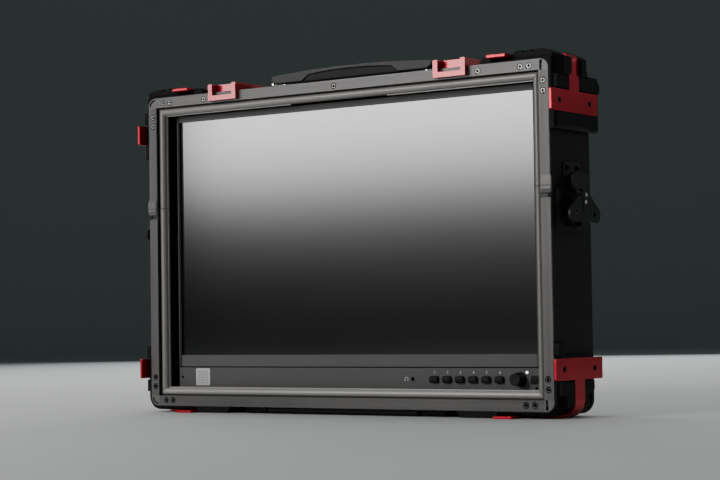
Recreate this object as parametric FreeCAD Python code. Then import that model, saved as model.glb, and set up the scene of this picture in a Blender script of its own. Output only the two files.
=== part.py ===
import FreeCAD, Part
import math
import os

# Field director monitor built into a two-part flight case.
# Millimetres. +X is to the viewer's right, +Y to the back and +Z up.
# Origin: middle of the plan outline, on the surface that the case stands on.

from FreeCAD import Vector

OUT_DIR = "parts"

# Screen, and the room that the bezel and the case leave round it
SCREEN_W = 527.0
SCREEN_H = 299.5
SCREEN_BOTTOM = 64.0
BEZEL_SIDE = 4.0
BEZEL_OVER = 7.5
MON_SIDE = 29.0
MON_ABOVE = 24.0
MON_BOTTOM = 20.0

# Case
CASE_DEPTH = 93.0
UPPER_CASE_H = 142.6
SPLIT_GAP = 0.6
PANEL_T = 4.0
CORNER_R = 11.0
BACK_EDGE_R = 2.0

# Extruded rail, measured inward from the outer edge and back from the front
RAIL_FACE_W = 13.0
RAIL_FACE_T = 2.0
RAIL_DEPTH = 13.0
RAIL_WALL = 1.0
RAIL_CLEAR = 0.2
BEAD_HALF_W = 4.4
BEAD_RISE = 3.2
BEAD_GAP = 0.8
BEAD_CREST = 2.6
BEAD_WALL = 1.4
LIP_W = 1.4
LIP_T = 1.4
LIP_SETBACK = 8.6
LIP_CUT_HALF_W = 72.0
CAP_SLOT_W = 3.4
CAP_SLOT_U = 7.5
CAP_RIM_T = 1.6
CAP_ARC_SLOT_W = 2.2
END_CAP_T = 1.3
END_CAP_UPPER_H = 11.6
END_CAP_LOWER_H = 8.0
END_CAP_CHAMFER = 4.4
END_CAP_WRAP = 1.6
RAIL_NOTCH_H = 5.3

# Corner keys inside the rails
KEY_SLOT_W = 5.4
KEY_SLOT_D = 7.0
KEY_CLEAR = 0.15
KEY_LEG = 46.0
KEY_BEVEL = 2.5

# Countersunk face screws
SCREW_HEAD_R = 3.1
SCREW_R = 1.5
SCREW_SINK = 1.5
SCREW_L = 9.0
SCREW_U = 7.2
SCREW_CLEAR = 0.06
SCREW_ENDS = (24.7, 36.2)
TOP_SCREW_IN = 92.3

# Corner guards and straps
GUARD_SIDE_T = 6.6
GUARD_TOP_T = 5.0
GUARD_BACK_T = 9.0
GUARD_SIDE_LEG = 79.0
GUARD_TOP_LEG = 89.5
GUARD_UNDER_SIDE_LEG = 63.0
GUARD_UNDER_LEG = 128.0
GUARD_UNDER_SHORT = 13.0
GUARD_NOTCH_IN = 20.0
GUARD_BACK_LEG = 62.0
GUARD_FRONT_SETBACK = 0.5
GUARD_CHAMFER = 3.6
GUARD_END_CHAMFER = 3.0
RIM_TOP_T = 7.4
RIM_SIDE_T = 9.0
RIM_CHAMFER = 4.0
RIM_BACK_TAPER = 22.0
RIM_GAP = 0.4
LOBE_LEG = 78.0
LOBE_D = 13.0
LOBE_R = 4.0
BULGE_SIDE_T = 13.5
BULGE_TOP_T = 12.0
BULGE_LOW_SIDE_T = 9.4
BULGE_UNDER_T = 4.6
BULGE_BEVEL_X = 22.0
BULGE_BEVEL_Z = 10.0
BULGE_SIDE_LEG = 17.0
BULGE_TOP_LEG = 46.0
BULGE_STEP_T = 9.2
BULGE_STEP_LEG = 33.0
BULGE_STEP_BEVEL = 8.0
BULGE_STEP_SHORT = 3.0
BULGE_SETBACK = 3.0
BULGE_BACK = 74.0
BULGE_CHAMFER = 2.0
BULGE_PLAN_CUT = 10.0
BULGE_TOP_CUT = 3.0
GROOVE_W = 4.0
GROOVE_D = 2.5
GROOVE_PITCH = 12.0
STRAP_T = 3.0
STRAP_REACH = 10.8
STRAP_LEN = 106.3
STRAP_SIDE_FROM = 34.9
STRAP_SIDE_W = 24.6
STRAP_TOP_FROM = 48.6
STRAP_TOP_W = 26.2
STRAP_ARM_FROM = 31.0
STRAP_ARM_W = 22.0
STRAP_BEND_R = 6.0
STRAP_LOW_BEND_R = 17.0
STRAP_EDGE_R = 1.5
STRAP_HOLE_END = 18.5
STRAP_SCREW_HEAD_R = 3.6
ARM_CLEAR = 0.5
GUARD_CLEAR = 0.2

# Lid brackets on the top rail
HOOK_GAP = 15.8
HOOK_W = 44.0
HOOK_RISE = 9.5
HOOK_DROP = 11.0
HOOK_REACH = 6.5
HOOK_BACK = 58.0
HOOK_ARM = 6.4
HOOK_BAR = 6.2
HOOK_SLOT_BACK = 4.2
HOOK_CHAMFER = 5.0

# Pull-up handle
HANDLE_FROM = 32.0
HANDLE_D = 30.0
HANDLE_GAP = 27.7
HANDLE_CROWN = 21.5
HANDLE_END_H = 17.0
HANDLE_UNDER = 8.0
HANDLE_TIP_H = 14.5
HANDLE_TIP_L = 2.5
HANDLE_HEEL_H = 11.5
HANDLE_HEEL_L = 6.2
HANDLE_STRAP_T = 3.2
HANDLE_EDGE_R = 1.2
GRIP_TOP_IN = 57.5
GRIP_LOW_IN = 46.5
GRIP_SETBACK = 1.5
GRIP_CLEAR = 0.2
GRIP_ARCH = 1.5
POST_IN = 12.5
POST_R = 4.0
POST_SHOULDER_R = 6.0
POST_COLLAR_R = 5.5
POST_COLLAR_T = 3.0
POST_INSERT = 6.0
POST_STOP = 0.6
HANDLE_TRAVEL = 18.0
BUSH_R = 6.5
BUSH_FLANGE_R = 9.0
BUSH_FLANGE_T = 1.5
BUSH_TAIL = 2.0
RUN_CLEAR = 0.05
SEAT_CLEAR = 0.1

# Skid under the case and the tongue inside its joint
SKID_GAP = 55.5
SKID_FROM = 5.0
SKID_D = 80.0
SKID_T = 7.5
SKID_R = 4.0
TONGUE_T = 2.0
TONGUE_BELOW = 12.0
TONGUE_ABOVE = 8.0
TONGUE_RELIEF = 0.4
TONGUE_FROM = 16.0

# Monitor in the case
MON_SETBACK = 21.5
MON_DEPTH = 16.5
SHEET_T = 2.0
SCREEN_LAP = 1.5
LCD_T = 10.0
BEZEL_SEAM = 49.4
SEAM_GAP = 1.2

# Rear cover of the monitor
COVER_SIDE = 12.5
COVER_OVER = 19.0
COVER_UNDER = 10.0
COVER_DEPTH = 34.0
COVER_FLANGE_DROP = 6.0
COVER_EDGE_R = 4.0
VESA = 100.0
VESA_Z = 160.0
VESA_R = 2.15
VESA_BOSS_R = 5.0
VESA_BOSS_L = 6.0
VENT_L = 46.0
VENT_H = 4.0
VENT_PITCH = 9.0
VENT_COUNT = 7
VENT_X = 105.0
BRACKET_H = 30.0
BRACKET_T = 2.0
BRACKET_FOOT = 16.0
BRACKET_LOW_Z = 80.0
BRACKET_DROP = 47.4
BRACKET_FROM = 3.0

# Service window in the back of the lower shell
WINDOW_HALF_W = 150.0
WINDOW_BOTTOM = 52.0
WINDOW_DROP = 16.4
WINDOW_R = 10.0

# Controls along the lower edge
CONTROL_Z = 34.7
BUTTON_TO_KNOB = 27.3
BUTTON_PITCH = 17.8
BUTTON_COUNT = 6
BUTTON_W = 11.4
BUTTON_H = 7.8
BUTTON_R = 2.2
BUTTON_PROUD = 5.0
BUTTON_DOME = 0.8
BUTTON_FLANGE = 1.0
BUTTON_FLANGE_T = 1.2
BUTTON_STEM_R = 1.6
BUTTON_TRAVEL = 1.0
BUTTON_CLEAR = 0.2
POWER_W = 8.6
POWER_PROUD = 1.2
KNOB_TO_POWER = 19.0
KNOB_Z = 35.5
KNOB_R = 8.2
KNOB_TIP_R = 7.2
KNOB_L = 13.0
KNOB_GAP = 0.8
KNOB_EDGE_R = 1.0
SHAFT_R = 3.0
SHAFT_IN_KNOB = 8.0
SHAFT_IN_BODY = 5.0
ENCODER_BUSH_R = 4.5
ENCODER_BUSH_L = 4.0
ENCODER_W = 13.0
JACK_TO_BUTTON = 30.7
JACK_Z = 35.1
JACK_R = 4.0
JACK_BORE_R = 1.8
JACK_BORE_L = 14.0
JACK_NUT_R = 5.6
JACK_NUT_T = 0.9
JACK_BODY_W = 10.0
LED_TO_KNOB = 8.5
LED_Z = 43.4
LED_R = 1.3
LED_PROUD = 0.4
BOARD_T = 1.6
BOARD_GAP = 9.0
BOARD_TO_JACK = 16.0
BOARD_BOSS_R = 2.5
BOARD_BOSS_TO_JACK = (-12.0, 15.0)
BOARD_BOSS_TO_KNOB = 13.0
BOARD_BOSS_RISE = 5.0
SWITCH_W = 6.0
SWITCH_T = 3.4
PANEL_SCREW_IN = 5.5
PANEL_SCREW_Z = (35.8, 25.4)
PANEL_SCREW_HEAD_R = 2.2
PANEL_SCREW_R = 1.2
PANEL_SCREW_L = 7.0

# Main board inside the rear cover
MAIN_HALF_W = 95.0
MAIN_BOTTOM = 112.0
MAIN_H = 120.0
MAIN_BOSS_L = 8.0
MAIN_BOSS_R = 3.5
MAIN_BOSS_EDGE = 8.0
CHIP_W = 28.0
CHIP_T = 3.0
SINK_FINS = 6
SINK_FIN_H = 9.0
SINK_FIN_T = 1.5

# Rear connectors
IO_HALF_W = 138.0
IO_BOTTOM = 60.0
IO_H = 36.0
IO_T = 1.5
IO_R = 3.0
BNC_X = -112.0
BNC_PITCH = 27.0
BNC_COUNT = 4
BNC_R = 4.8
BNC_L = 10.0
BNC_BORE_R = 3.6
BNC_PIN_R = 0.9
BNC_NUT_R = 7.0
BNC_NUT_T = 2.0
BNC_LUG_R = 1.0
BNC_LUG_L = 1.2
HDMI_X = 20.0
HDMI_PITCH = 30.0
HDMI_COUNT = 2
HDMI_W = 15.2
HDMI_H = 5.8
HDMI_WALL = 0.5
HDMI_DEPTH = 11.0
HDMI_PROUD = 1.0
HDMI_TONGUE_W = 11.0
HDMI_TONGUE_T = 1.4
DC_X = 108.0
DC_R = 11.0
DC_FLANGE_W = 26.0
DC_FLANGE_H = 30.0
DC_FLANGE_T = 2.0
DC_PROUD = 6.0
DC_WALL = 1.5
DC_CAVITY = 12.0
DC_PIN_R = 1.0
DC_PIN_CIRCLE = 4.2
DC_PIN_COUNT = 4

# Butterfly latch, heights measured from the case joint, thickness out from the side panel
LATCH_FROM = 47.0
LATCH_PLATE_HALF_W = 38.0
LATCH_PLATE_LOW = -49.0
LATCH_PLATE_HIGH = -1.5
LATCH_PLATE_T = 1.6
LATCH_PLATE_R = 7.0
GUIDE_IN = 10.0
GUIDE_T = 3.0
GUIDE_LOW = -45.0
GUIDE_HIGH = -4.0
GUIDE_P = 7.0
CAM_DROP = 24.0
CAM_AXLE_R = 4.0
CAM_SLOT_CLEAR = 0.3
SLIDE_CLEAR = 0.3
SLIDER_LOW = -35.0
SLIDER_HIGH = -4.6
SLIDE_TRAVEL = 8.0
HOOK_PIN_P = 9.9
HOOK_PIN_DROP = 6.4
HOOK_PIN_R = 1.6
HOOK_RING_R = 2.6
HOOK_RING_IN = 5.3
HOOK_RING_OUT = 9.4
HOOK_NECK_HALF_W = 5.0
HOOK_PLATE_HALF_W = 18.3
HOOK_PLATE_LOW = -2.6
HOOK_PLATE_HIGH = 15.6
HOOK_PLATE_T = 3.0
HOOK_PLATE_R = 5.0
HOOK_LIP_T = 3.0
HOOK_LIP_REACH = 4.2
HOOK_SEAT_GAP = 0.2
HOOK_LEAN = 8.0
KEEPER_HALF_W = 19.0
KEEPER_LOW = 2.1
KEEPER_HIGH = 28.0
KEEPER_T = 1.6
KEEPER_R = 5.0
KEEPER_LEDGE_HALF_W = 14.0
KEEPER_LEDGE_P = 6.0
LATCH_KEY_P = 15.2
LATCH_KEY_T = 3.0
LATCH_KEY_HIGH = -10.4
LATCH_KEY_H = 31.0
LATCH_KEY_HALF_W = 34.5
LATCH_KEY_TOP_HALF_W = 12.0
LATCH_KEY_SHOULDER_X = 28.0
LATCH_KEY_SHOULDER_DROP = 12.0
LATCH_KEY_TIP_DROP = 19.0
LATCH_KEY_HEEL_X = 26.0
LATCH_KEY_HOLE_X = 21.4
LATCH_KEY_HOLE_DROP = 20.5
LATCH_KEY_HOLE_R = 3.0
LATCH_KEY_NOTCH_D = 14.0
KEY_PIN_DROP = 14.4
KEY_PIN_R = 1.2
KEY_PIN_HALF_L = 9.0
TONGUE_HALF_W = 5.5
TONGUE_P = 14.6
TONGUE_FACE_P = 18.8
TONGUE_LOW = -30.0
TONGUE_HIGH = -4.9
TONGUE_SIDE_CLEAR = 0.5
LATCH_SCREW_HALF_W = 22.0
LATCH_SCREW_DROP = 34.3
KEEPER_SCREW_HALF_W = 11.3
KEEPER_SCREW_RISE = 21.6
LATCH_SCREW_HEAD_R = 2.8
LATCH_SCREW_HEAD_T = 1.4
LATCH_SCREW_R = 1.5

# Levels and planes worked out from the sizes above
MON_HALF_W = SCREEN_W / 2 + BEZEL_SIDE
MON_TOP = SCREEN_BOTTOM + SCREEN_H + BEZEL_OVER
HALF_W = MON_HALF_W + MON_SIDE
FRAME_W = 2 * HALF_W
FRAME_H = MON_TOP + MON_ABOVE
SPLIT_H = FRAME_H - UPPER_CASE_H
FOOT_RISE = GUARD_TOP_T + STRAP_T
BOTTOM = FOOT_RISE
TOP = FOOT_RISE + FRAME_H
MID_Z = (TOP + BOTTOM) / 2
SPLIT = BOTTOM + SPLIT_H
SPLIT_UP = SPLIT + SPLIT_GAP / 2
SPLIT_DOWN = SPLIT - SPLIT_GAP / 2
PLAN_DEPTH = STRAP_REACH + CASE_DEPTH + GUARD_BACK_T
FRONT = STRAP_REACH - PLAN_DEPTH / 2
BACK = FRONT + CASE_DEPTH
SHELL_FRONT = FRONT + RAIL_FACE_T
INNER_W = HALF_W - PANEL_T
BEAD_U = RAIL_FACE_W + BEAD_GAP + BEAD_HALF_W
RAIL_INNER_U = BEAD_U + BEAD_HALF_W
LIP_U = RAIL_INNER_U + LIP_W
RAIL_OUTER_U = PANEL_T + RAIL_CLEAR
KEY_U = RAIL_OUTER_U + RAIL_WALL
KEY_V = RAIL_FACE_T + RAIL_WALL
MON_FRONT = FRONT + MON_SETBACK
MON_BACK = MON_FRONT + MON_DEPTH
COVER_BACK = MON_BACK + SHEET_T + COVER_DEPTH
COVER_HALF_W = MON_HALF_W - COVER_SIDE
COVER_TOP = MON_TOP - COVER_OVER
COVER_BOTTOM = MON_BOTTOM + COVER_UNDER
BRACKET_Z = (BRACKET_LOW_Z, SPLIT_H - BRACKET_DROP)
WINDOW_TOP = SPLIT_H - WINDOW_DROP
BOARD_FRONT = MON_FRONT + BOARD_GAP
POWER_X = MON_HALF_W - SHEET_T - BUTTON_CLEAR - BUTTON_FLANGE - POWER_W / 2
KNOB_X = POWER_X - KNOB_TO_POWER
LED_X = KNOB_X + LED_TO_KNOB
BUTTON_X = KNOB_X - BUTTON_TO_KNOB - (BUTTON_COUNT - 1) * BUTTON_PITCH
JACK_X = BUTTON_X - JACK_TO_BUTTON
BOARD_FROM_X = JACK_X - BOARD_TO_JACK
BOARD_BOSS_X = [JACK_X + run for run in BOARD_BOSS_TO_JACK] + [KNOB_X - BOARD_BOSS_TO_KNOB]
PANEL_SCREW_X = MON_HALF_W - PANEL_SCREW_IN
LATCH_Y = FRONT + LATCH_FROM
HANDLE_Y0 = FRONT + HANDLE_FROM
HANDLE_Y1 = HANDLE_Y0 + HANDLE_D
HANDLE_MID = (HANDLE_Y0 + HANDLE_Y1) / 2
TOP_SCREW_X = HALF_W - TOP_SCREW_IN
HOOK_X = HALF_W - GUARD_TOP_LEG - HOOK_GAP - HOOK_W / 2
HANDLE_HALF_L = HOOK_X - HOOK_W / 2 - HANDLE_GAP
POST_X = HANDLE_HALF_L - POST_IN
GRIP_TOP_HALF_L = HANDLE_HALF_L - GRIP_TOP_IN
GRIP_LOW_HALF_L = HANDLE_HALF_L - GRIP_LOW_IN
SKID_HALF_L = HALF_W - GUARD_UNDER_LEG - SKID_GAP
STRAP_SIDE_END = STRAP_SIDE_FROM + STRAP_SIDE_W
STRAP_TOP_END = STRAP_TOP_FROM + STRAP_TOP_W
KEEPER_LEDGE_HIGH = HOOK_PLATE_HIGH - HOOK_LIP_T - SLIDE_TRAVEL - HOOK_SEAT_GAP
REACH = 2 * (FRAME_W + FRAME_H)

X_AXIS = Vector(1, 0, 0)
Y_AXIS = Vector(0, 1, 0)
Z_AXIS = Vector(0, 0, 1)
ORIGIN = Vector(0, 0, 0)


# Solids from simple forms

def box(x0, x1, y0, y1, z0, z1):
    """Box between two corners."""
    return Part.makeBox(x1 - x0, y1 - y0, z1 - z0, Vector(x0, y0, z0))


def rod(radius, start, end):
    """Round bar from one point to another."""
    span = end - start
    return Part.makeCylinder(radius, span.Length, start, span)


def taper(radius0, radius1, start, end):
    """Cone from one point to another."""
    span = end - start
    return Part.makeCone(radius0, radius1, span.Length, start, span)


def in_xz(a, b):
    """Place a flat outline's point in the XZ plane."""
    return Vector(a, 0, b)


def in_yz(a, b):
    """Place a flat outline's point in the YZ plane."""
    return Vector(0, a, b)


def in_xy(a, b):
    """Place a flat outline's point in the XY plane."""
    return Vector(a, b, 0)


def outline(points, place):
    """Closed wire. A point of two values ends a line, one of four ends an arc through its first pair."""
    edges = []
    last = points[-1][-2:]
    for point in points:
        end = point[-2:]
        start_at = place(*last)
        end_at = place(*end)
        if len(point) == 4:
            edges.append(Part.Arc(start_at, place(*point[:2]), end_at).toShape())
        elif start_at.distanceToPoint(end_at) > 1e-6:
            edges.append(Part.LineSegment(start_at, end_at).toShape())
        last = end
    return Part.Wire(edges)


def plate_xz(points, y0, y1):
    """Outline in XZ, made solid from y0 to y1."""
    solid = Part.Face(outline(points, in_xz)).extrude(Y_AXIS * (y1 - y0))
    solid.translate(Y_AXIS * y0)
    return solid


def plate_yz(points, x0, x1):
    """Outline in YZ, made solid from x0 to x1."""
    solid = Part.Face(outline(points, in_yz)).extrude(X_AXIS * (x1 - x0))
    solid.translate(X_AXIS * x0)
    return solid


def plate_xy(points, z0, z1):
    """Outline in XY, made solid from z0 to z1."""
    solid = Part.Face(outline(points, in_xy)).extrude(Z_AXIS * (z1 - z0))
    solid.translate(Z_AXIS * z0)
    return solid


def round_rect(a0, a1, b0, b1, radius):
    """Outline of a rectangle with rounded corners."""
    inset = radius * (1 - math.sqrt(0.5))
    return [
        (a0 + radius, b0),
        (a1 - radius, b0),
        (a1 - inset, b0 + inset, a1, b0 + radius),
        (a1, b1 - radius),
        (a1 - inset, b1 - inset, a1 - radius, b1),
        (a0 + radius, b1),
        (a0 + inset, b1 - inset, a0, b1 - radius),
        (a0, b0 + radius),
        (a0 + inset, b0 + inset, a0 + radius, b0),
    ]


def joined(solids):
    """One solid from touching or overlapping ones."""
    whole = solids[0].multiFuse(solids[1:]) if len(solids) > 1 else solids[0]
    return whole.removeSplitter()


def to_left(solid):
    """Copy on the other side of the middle plane."""
    return solid.mirror(ORIGIN, X_AXIS)


def to_bottom(solid):
    """Copy on the other side of the frame's middle height."""
    return solid.mirror(Z_AXIS * MID_Z, Z_AXIS)


def pair(solid):
    """A right-hand piece with its left-hand twin."""
    return [solid, to_left(solid)]


def turned_bar(points, start, axis):
    """Revolved solid about an axis through a point. Points are (along, radius) pairs."""
    side = X_AXIS if abs(axis.x) < 0.5 else Y_AXIS
    corners = [start + axis * along + side * radius for along, radius in points]
    return Part.Face(Part.makePolygon(corners + corners[:1])).revolve(start, axis, 360)


def edges_where(solid, test):
    """Edges whose every end passes a test."""
    return [edge for edge in solid.Edges if all(test(vertex.Point) for vertex in edge.Vertexes)]


def close_to(value, target):
    """Whether two lengths are the same within a fitter's reading."""
    return abs(value - target) < 1e-4


def save(name, solids):
    """Write one node from its solids."""
    shape = solids[0] if len(solids) == 1 else Part.makeCompound(solids)
    shape.exportStep(os.path.join(OUT_DIR, name + ".step"))


# Fasteners

def sunk_screw(point, axis, head_r, shank_r, length, clear=0.0):
    """Countersunk screw, or the hole for it when it has a clearance."""
    neck = point + axis * SCREW_SINK
    head = taper(head_r + clear, shank_r + clear, point, neck)
    shank = rod(shank_r + clear, point, point + axis * (length + clear))
    return joined([head, shank])


def pan_screw(point, axis, length, clear=0.0):
    """Latch screw with its head standing on a plate."""
    head_top = point - axis * LATCH_SCREW_HEAD_T
    head = rod(LATCH_SCREW_HEAD_R + clear, head_top, point)
    shank = rod(LATCH_SCREW_R + clear, head_top, point + axis * (length + clear))
    return joined([head, shank])


def frame_screw_points():
    """Front face screws as (x, z), upper and lower."""
    rail_x = HALF_W - SCREW_U
    upper = [(0.0, TOP - SCREW_U)]
    lower = []
    for side in (-1, 1):
        upper.append((side * TOP_SCREW_X, TOP - SCREW_U))
        for run in SCREW_ENDS:
            upper.append((side * (HALF_W - run), TOP - SCREW_U))
            upper.append((side * rail_x, TOP - run))
            lower.append((side * (HALF_W - run), BOTTOM + SCREW_U))
            lower.append((side * rail_x, BOTTOM + run))
    return upper, lower


def frame_screws(points, clear=0.0):
    """Countersunk screws in the front frame, or their holes."""
    made = []
    for x, z in points:
        made.append(sunk_screw(Vector(x, FRONT, z), Y_AXIS, SCREW_HEAD_R, SCREW_R, SCREW_L, clear))
    return made


def strap_screw_places():
    """Strap screws of the top right strap as (point, axis into the case)."""
    side_z = TOP - STRAP_SIDE_FROM - STRAP_SIDE_W / 2
    top_x = HALF_W - STRAP_TOP_FROM - STRAP_TOP_W / 2
    places = []
    for run in (STRAP_HOLE_END, STRAP_LEN - STRAP_HOLE_END):
        y = FRONT - STRAP_REACH + run
        places.append((Vector(HALF_W + GUARD_SIDE_T + STRAP_T, y, side_z), -X_AXIS))
        places.append((Vector(top_x, y, TOP + GUARD_TOP_T + STRAP_T), -Z_AXIS))
    return places


def strap_screws(clear=0.0):
    """Screws of the top right strap, or their holes. They end in the guard."""
    length = STRAP_T + GUARD_TOP_T - GUARD_CLEAR
    return [sunk_screw(point, axis, STRAP_SCREW_HEAD_R, SCREW_R, length, clear)
            for point, axis in strap_screw_places()]


# Front frame

def rail_face(corner, inward):
    """Section of the extruded rail: face, groove, bead, lip and two chambers."""
    def place(u, v):
        return corner + inward * u + Y_AXIS * v
    bead_base = BEAD_CREST + BEAD_RISE
    lip_back = LIP_SETBACK + LIP_T
    outer = [
        (0, 0),
        (RAIL_FACE_W, 0),
        (RAIL_FACE_W, bead_base),
        (BEAD_U - BEAD_HALF_W, bead_base),
        (BEAD_U, BEAD_CREST, RAIL_INNER_U, bead_base),
        (RAIL_INNER_U, LIP_SETBACK),
        (LIP_U, LIP_SETBACK),
        (LIP_U, lip_back),
        (RAIL_INNER_U, lip_back),
        (RAIL_INNER_U, RAIL_DEPTH),
        (RAIL_OUTER_U, RAIL_DEPTH),
        (RAIL_OUTER_U, RAIL_FACE_T),
        (0, RAIL_FACE_T),
    ]
    key_chamber = [
        (KEY_U, KEY_V),
        (KEY_U + KEY_SLOT_W, KEY_V),
        (KEY_U + KEY_SLOT_W, KEY_V + KEY_SLOT_D),
        (KEY_U, KEY_V + KEY_SLOT_D),
    ]
    bead_chamber = [
        (RAIL_FACE_W + BEAD_WALL, bead_base + BEAD_WALL),
        (RAIL_INNER_U - BEAD_WALL, bead_base + BEAD_WALL),
        (RAIL_INNER_U - BEAD_WALL, RAIL_DEPTH - BEAD_WALL),
        (RAIL_FACE_W + BEAD_WALL, RAIL_DEPTH - BEAD_WALL),
    ]
    wires = [outline(points, place) for points in (outer, key_chamber, bead_chamber)]
    return Part.makeFace(wires, "Part::FaceMakerBullseye")


def corner_squares():
    """Squares at the frame's corners, where the corner caps sit."""
    blocks = []
    for x0 in (-HALF_W, HALF_W - RAIL_FACE_W):
        for z0 in (BOTTOM, TOP - RAIL_FACE_W):
            blocks.append(box(x0, x0 + RAIL_FACE_W, FRONT - 1, FRONT + RAIL_DEPTH + 1,
                              z0, z0 + RAIL_FACE_W))
    return blocks


def top_rail_blank():
    """Top rail with mitred bead, before its screw holes."""
    rail = rail_face(Vector(-HALF_W, FRONT, TOP), -Z_AXIS).extrude(X_AXIS * FRAME_W)
    mitre = 2 * LIP_U
    wedge = [
        (-HALF_W, TOP),
        (HALF_W, TOP),
        (HALF_W - mitre, TOP - mitre),
        (-HALF_W + mitre, TOP - mitre),
    ]
    rail = rail.common(plate_xz(wedge, FRONT - 1, FRONT + RAIL_DEPTH + 1))
    return rail.cut(corner_squares())


def side_rail_blank():
    """Right side rail over the whole height, before it is parted."""
    rail = rail_face(Vector(HALF_W, FRONT, BOTTOM), -X_AXIS).extrude(Z_AXIS * FRAME_H)
    mitre = 2 * LIP_U
    wedge = [
        (HALF_W, BOTTOM),
        (HALF_W, TOP),
        (HALF_W - mitre, TOP - mitre),
        (HALF_W - mitre, BOTTOM + mitre),
    ]
    rail = rail.common(plate_xz(wedge, FRONT - 1, FRONT + RAIL_DEPTH + 1))
    return rail.cut(corner_squares())


def make_rails():
    """Four rails, the side ones parted at the case joint."""
    upper_points, lower_points = frame_screw_points()
    upper_holes = frame_screws(upper_points, SCREW_CLEAR)
    lower_holes = frame_screws(lower_points, SCREW_CLEAR)
    lip_cut = box(-LIP_CUT_HALF_W, LIP_CUT_HALF_W, FRONT, FRONT + RAIL_DEPTH,
                  TOP - LIP_U - 1, TOP - RAIL_INNER_U)
    top = top_rail_blank()
    save("top_rail", [top.cut(upper_holes + [lip_cut])])
    save("bottom_rail", [to_bottom(top).cut(lower_holes)])
    side = side_rail_blank()
    above = box(-REACH, REACH, -REACH, REACH, SPLIT_UP, REACH)
    below = box(-REACH, REACH, -REACH, REACH, -REACH, SPLIT_DOWN)
    notch_top = SPLIT_DOWN - END_CAP_LOWER_H
    notch = box(HALF_W - RAIL_FACE_W, HALF_W + 1, FRONT - 1, FRONT + RAIL_FACE_T,
                notch_top - RAIL_NOTCH_H, notch_top)
    upper = side.common(above)
    lower = side.common(below).cut(notch)
    save("upper_side_rails", [rail.cut(upper_holes) for rail in pair(upper)])
    save("lower_side_rails", [rail.cut(lower_holes) for rail in pair(lower)])


def corner_cap_blank():
    """Top right corner cap, rounded outside."""
    inset = CORNER_R * (1 - math.sqrt(0.5))
    x0 = HALF_W - RAIL_FACE_W
    z0 = TOP - RAIL_FACE_W
    points = [
        (x0, z0),
        (HALF_W, z0),
        (HALF_W, TOP - CORNER_R),
        (HALF_W - inset, TOP - inset, HALF_W - CORNER_R, TOP),
        (x0, TOP),
    ]
    return plate_xz(points, FRONT, FRONT + RAIL_FACE_T)


def make_corner_caps():
    """Corner caps: an upright slot on the right, a curved slot behind a rim on the left."""
    blank = corner_cap_blank()
    slot = box(HALF_W - CAP_SLOT_U - CAP_SLOT_W, HALF_W - CAP_SLOT_U, FRONT - 1, FRONT + RAIL_FACE_T + 1,
               TOP - RAIL_FACE_W - 1, TOP - CAP_RIM_T)
    centre = Vector(HALF_W - CORNER_R, FRONT - 1, TOP - CORNER_R)
    far = centre + Y_AXIS * (RAIL_FACE_T + 2)
    slot_r = CORNER_R - CAP_RIM_T
    ring = rod(slot_r, centre, far).cut(rod(slot_r - CAP_ARC_SLOT_W, centre, far))
    quarter = box(HALF_W - CORNER_R, HALF_W, FRONT - 1, FRONT + RAIL_FACE_T + 1, TOP - CORNER_R, TOP)
    right = blank.cut(slot)
    left = to_left(blank.cut(ring.common(quarter)))
    save("corner_caps_upper", [right, left])
    save("corner_caps_lower", [to_bottom(right), to_bottom(left)])


def make_corner_keys():
    """L-shaped keys that join the rails, drilled for the face screws."""
    near = KEY_U + KEY_CLEAR
    far = KEY_U + KEY_SLOT_W - KEY_CLEAR
    points = [
        (HALF_W - near, TOP - near - KEY_BEVEL),
        (HALF_W - near - KEY_BEVEL, TOP - near),
        (HALF_W - KEY_LEG, TOP - near),
        (HALF_W - KEY_LEG, TOP - far),
        (HALF_W - far, TOP - far),
        (HALF_W - far, TOP - KEY_LEG),
        (HALF_W - near, TOP - KEY_LEG),
    ]
    key = plate_xz(points, FRONT + KEY_V + KEY_CLEAR, FRONT + KEY_V + KEY_SLOT_D - KEY_CLEAR)
    upper_points, lower_points = frame_screw_points()
    upper_holes = frame_screws(upper_points, SCREW_CLEAR)
    lower_holes = frame_screws(lower_points, SCREW_CLEAR)
    save("corner_keys_upper", [solid.cut(upper_holes) for solid in pair(key)])
    save("corner_keys_lower", [solid.cut(lower_holes) for solid in pair(to_bottom(key))])


def end_cap(z_joint, height):
    """Right rail's end cap at the case joint, chamfered away from it. A negative height points down."""
    chamfer = math.copysign(END_CAP_CHAMFER, height)
    z_far = z_joint + height
    thin = END_CAP_T / 3
    face = [
        (FRONT, z_joint),
        (FRONT, z_far),
        (FRONT - thin, z_far),
        (FRONT - END_CAP_T, z_far - chamfer),
        (FRONT - END_CAP_T, z_joint),
    ]
    side = [
        (HALF_W, z_joint),
        (HALF_W + END_CAP_T, z_joint),
        (HALF_W + END_CAP_T, z_far - chamfer),
        (HALF_W + thin, z_far),
        (HALF_W, z_far),
    ]
    front_plate = plate_yz(face, HALF_W - RAIL_FACE_W + END_CAP_T, HALF_W)
    side_plate = plate_xz(side, FRONT - END_CAP_T, FRONT + END_CAP_WRAP)
    corner = plate_yz(face, HALF_W, HALF_W + END_CAP_T).common(plate_xz(side, FRONT - END_CAP_T, FRONT))
    return joined([front_plate, side_plate.cut(box(HALF_W, REACH, -REACH, FRONT, -REACH, REACH)), corner])


def make_end_caps():
    """End caps of the side rails above and below the joint."""
    save("rail_end_caps_upper", pair(end_cap(SPLIT_UP, END_CAP_UPPER_H)))
    save("rail_end_caps_lower", pair(end_cap(SPLIT_DOWN, -END_CAP_LOWER_H)))


# Case shells

def case_block(front):
    """Outer block of the case, back from a given plane."""
    return plate_xz(round_rect(-HALF_W, HALF_W, BOTTOM, TOP, CORNER_R), front, BACK)


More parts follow.
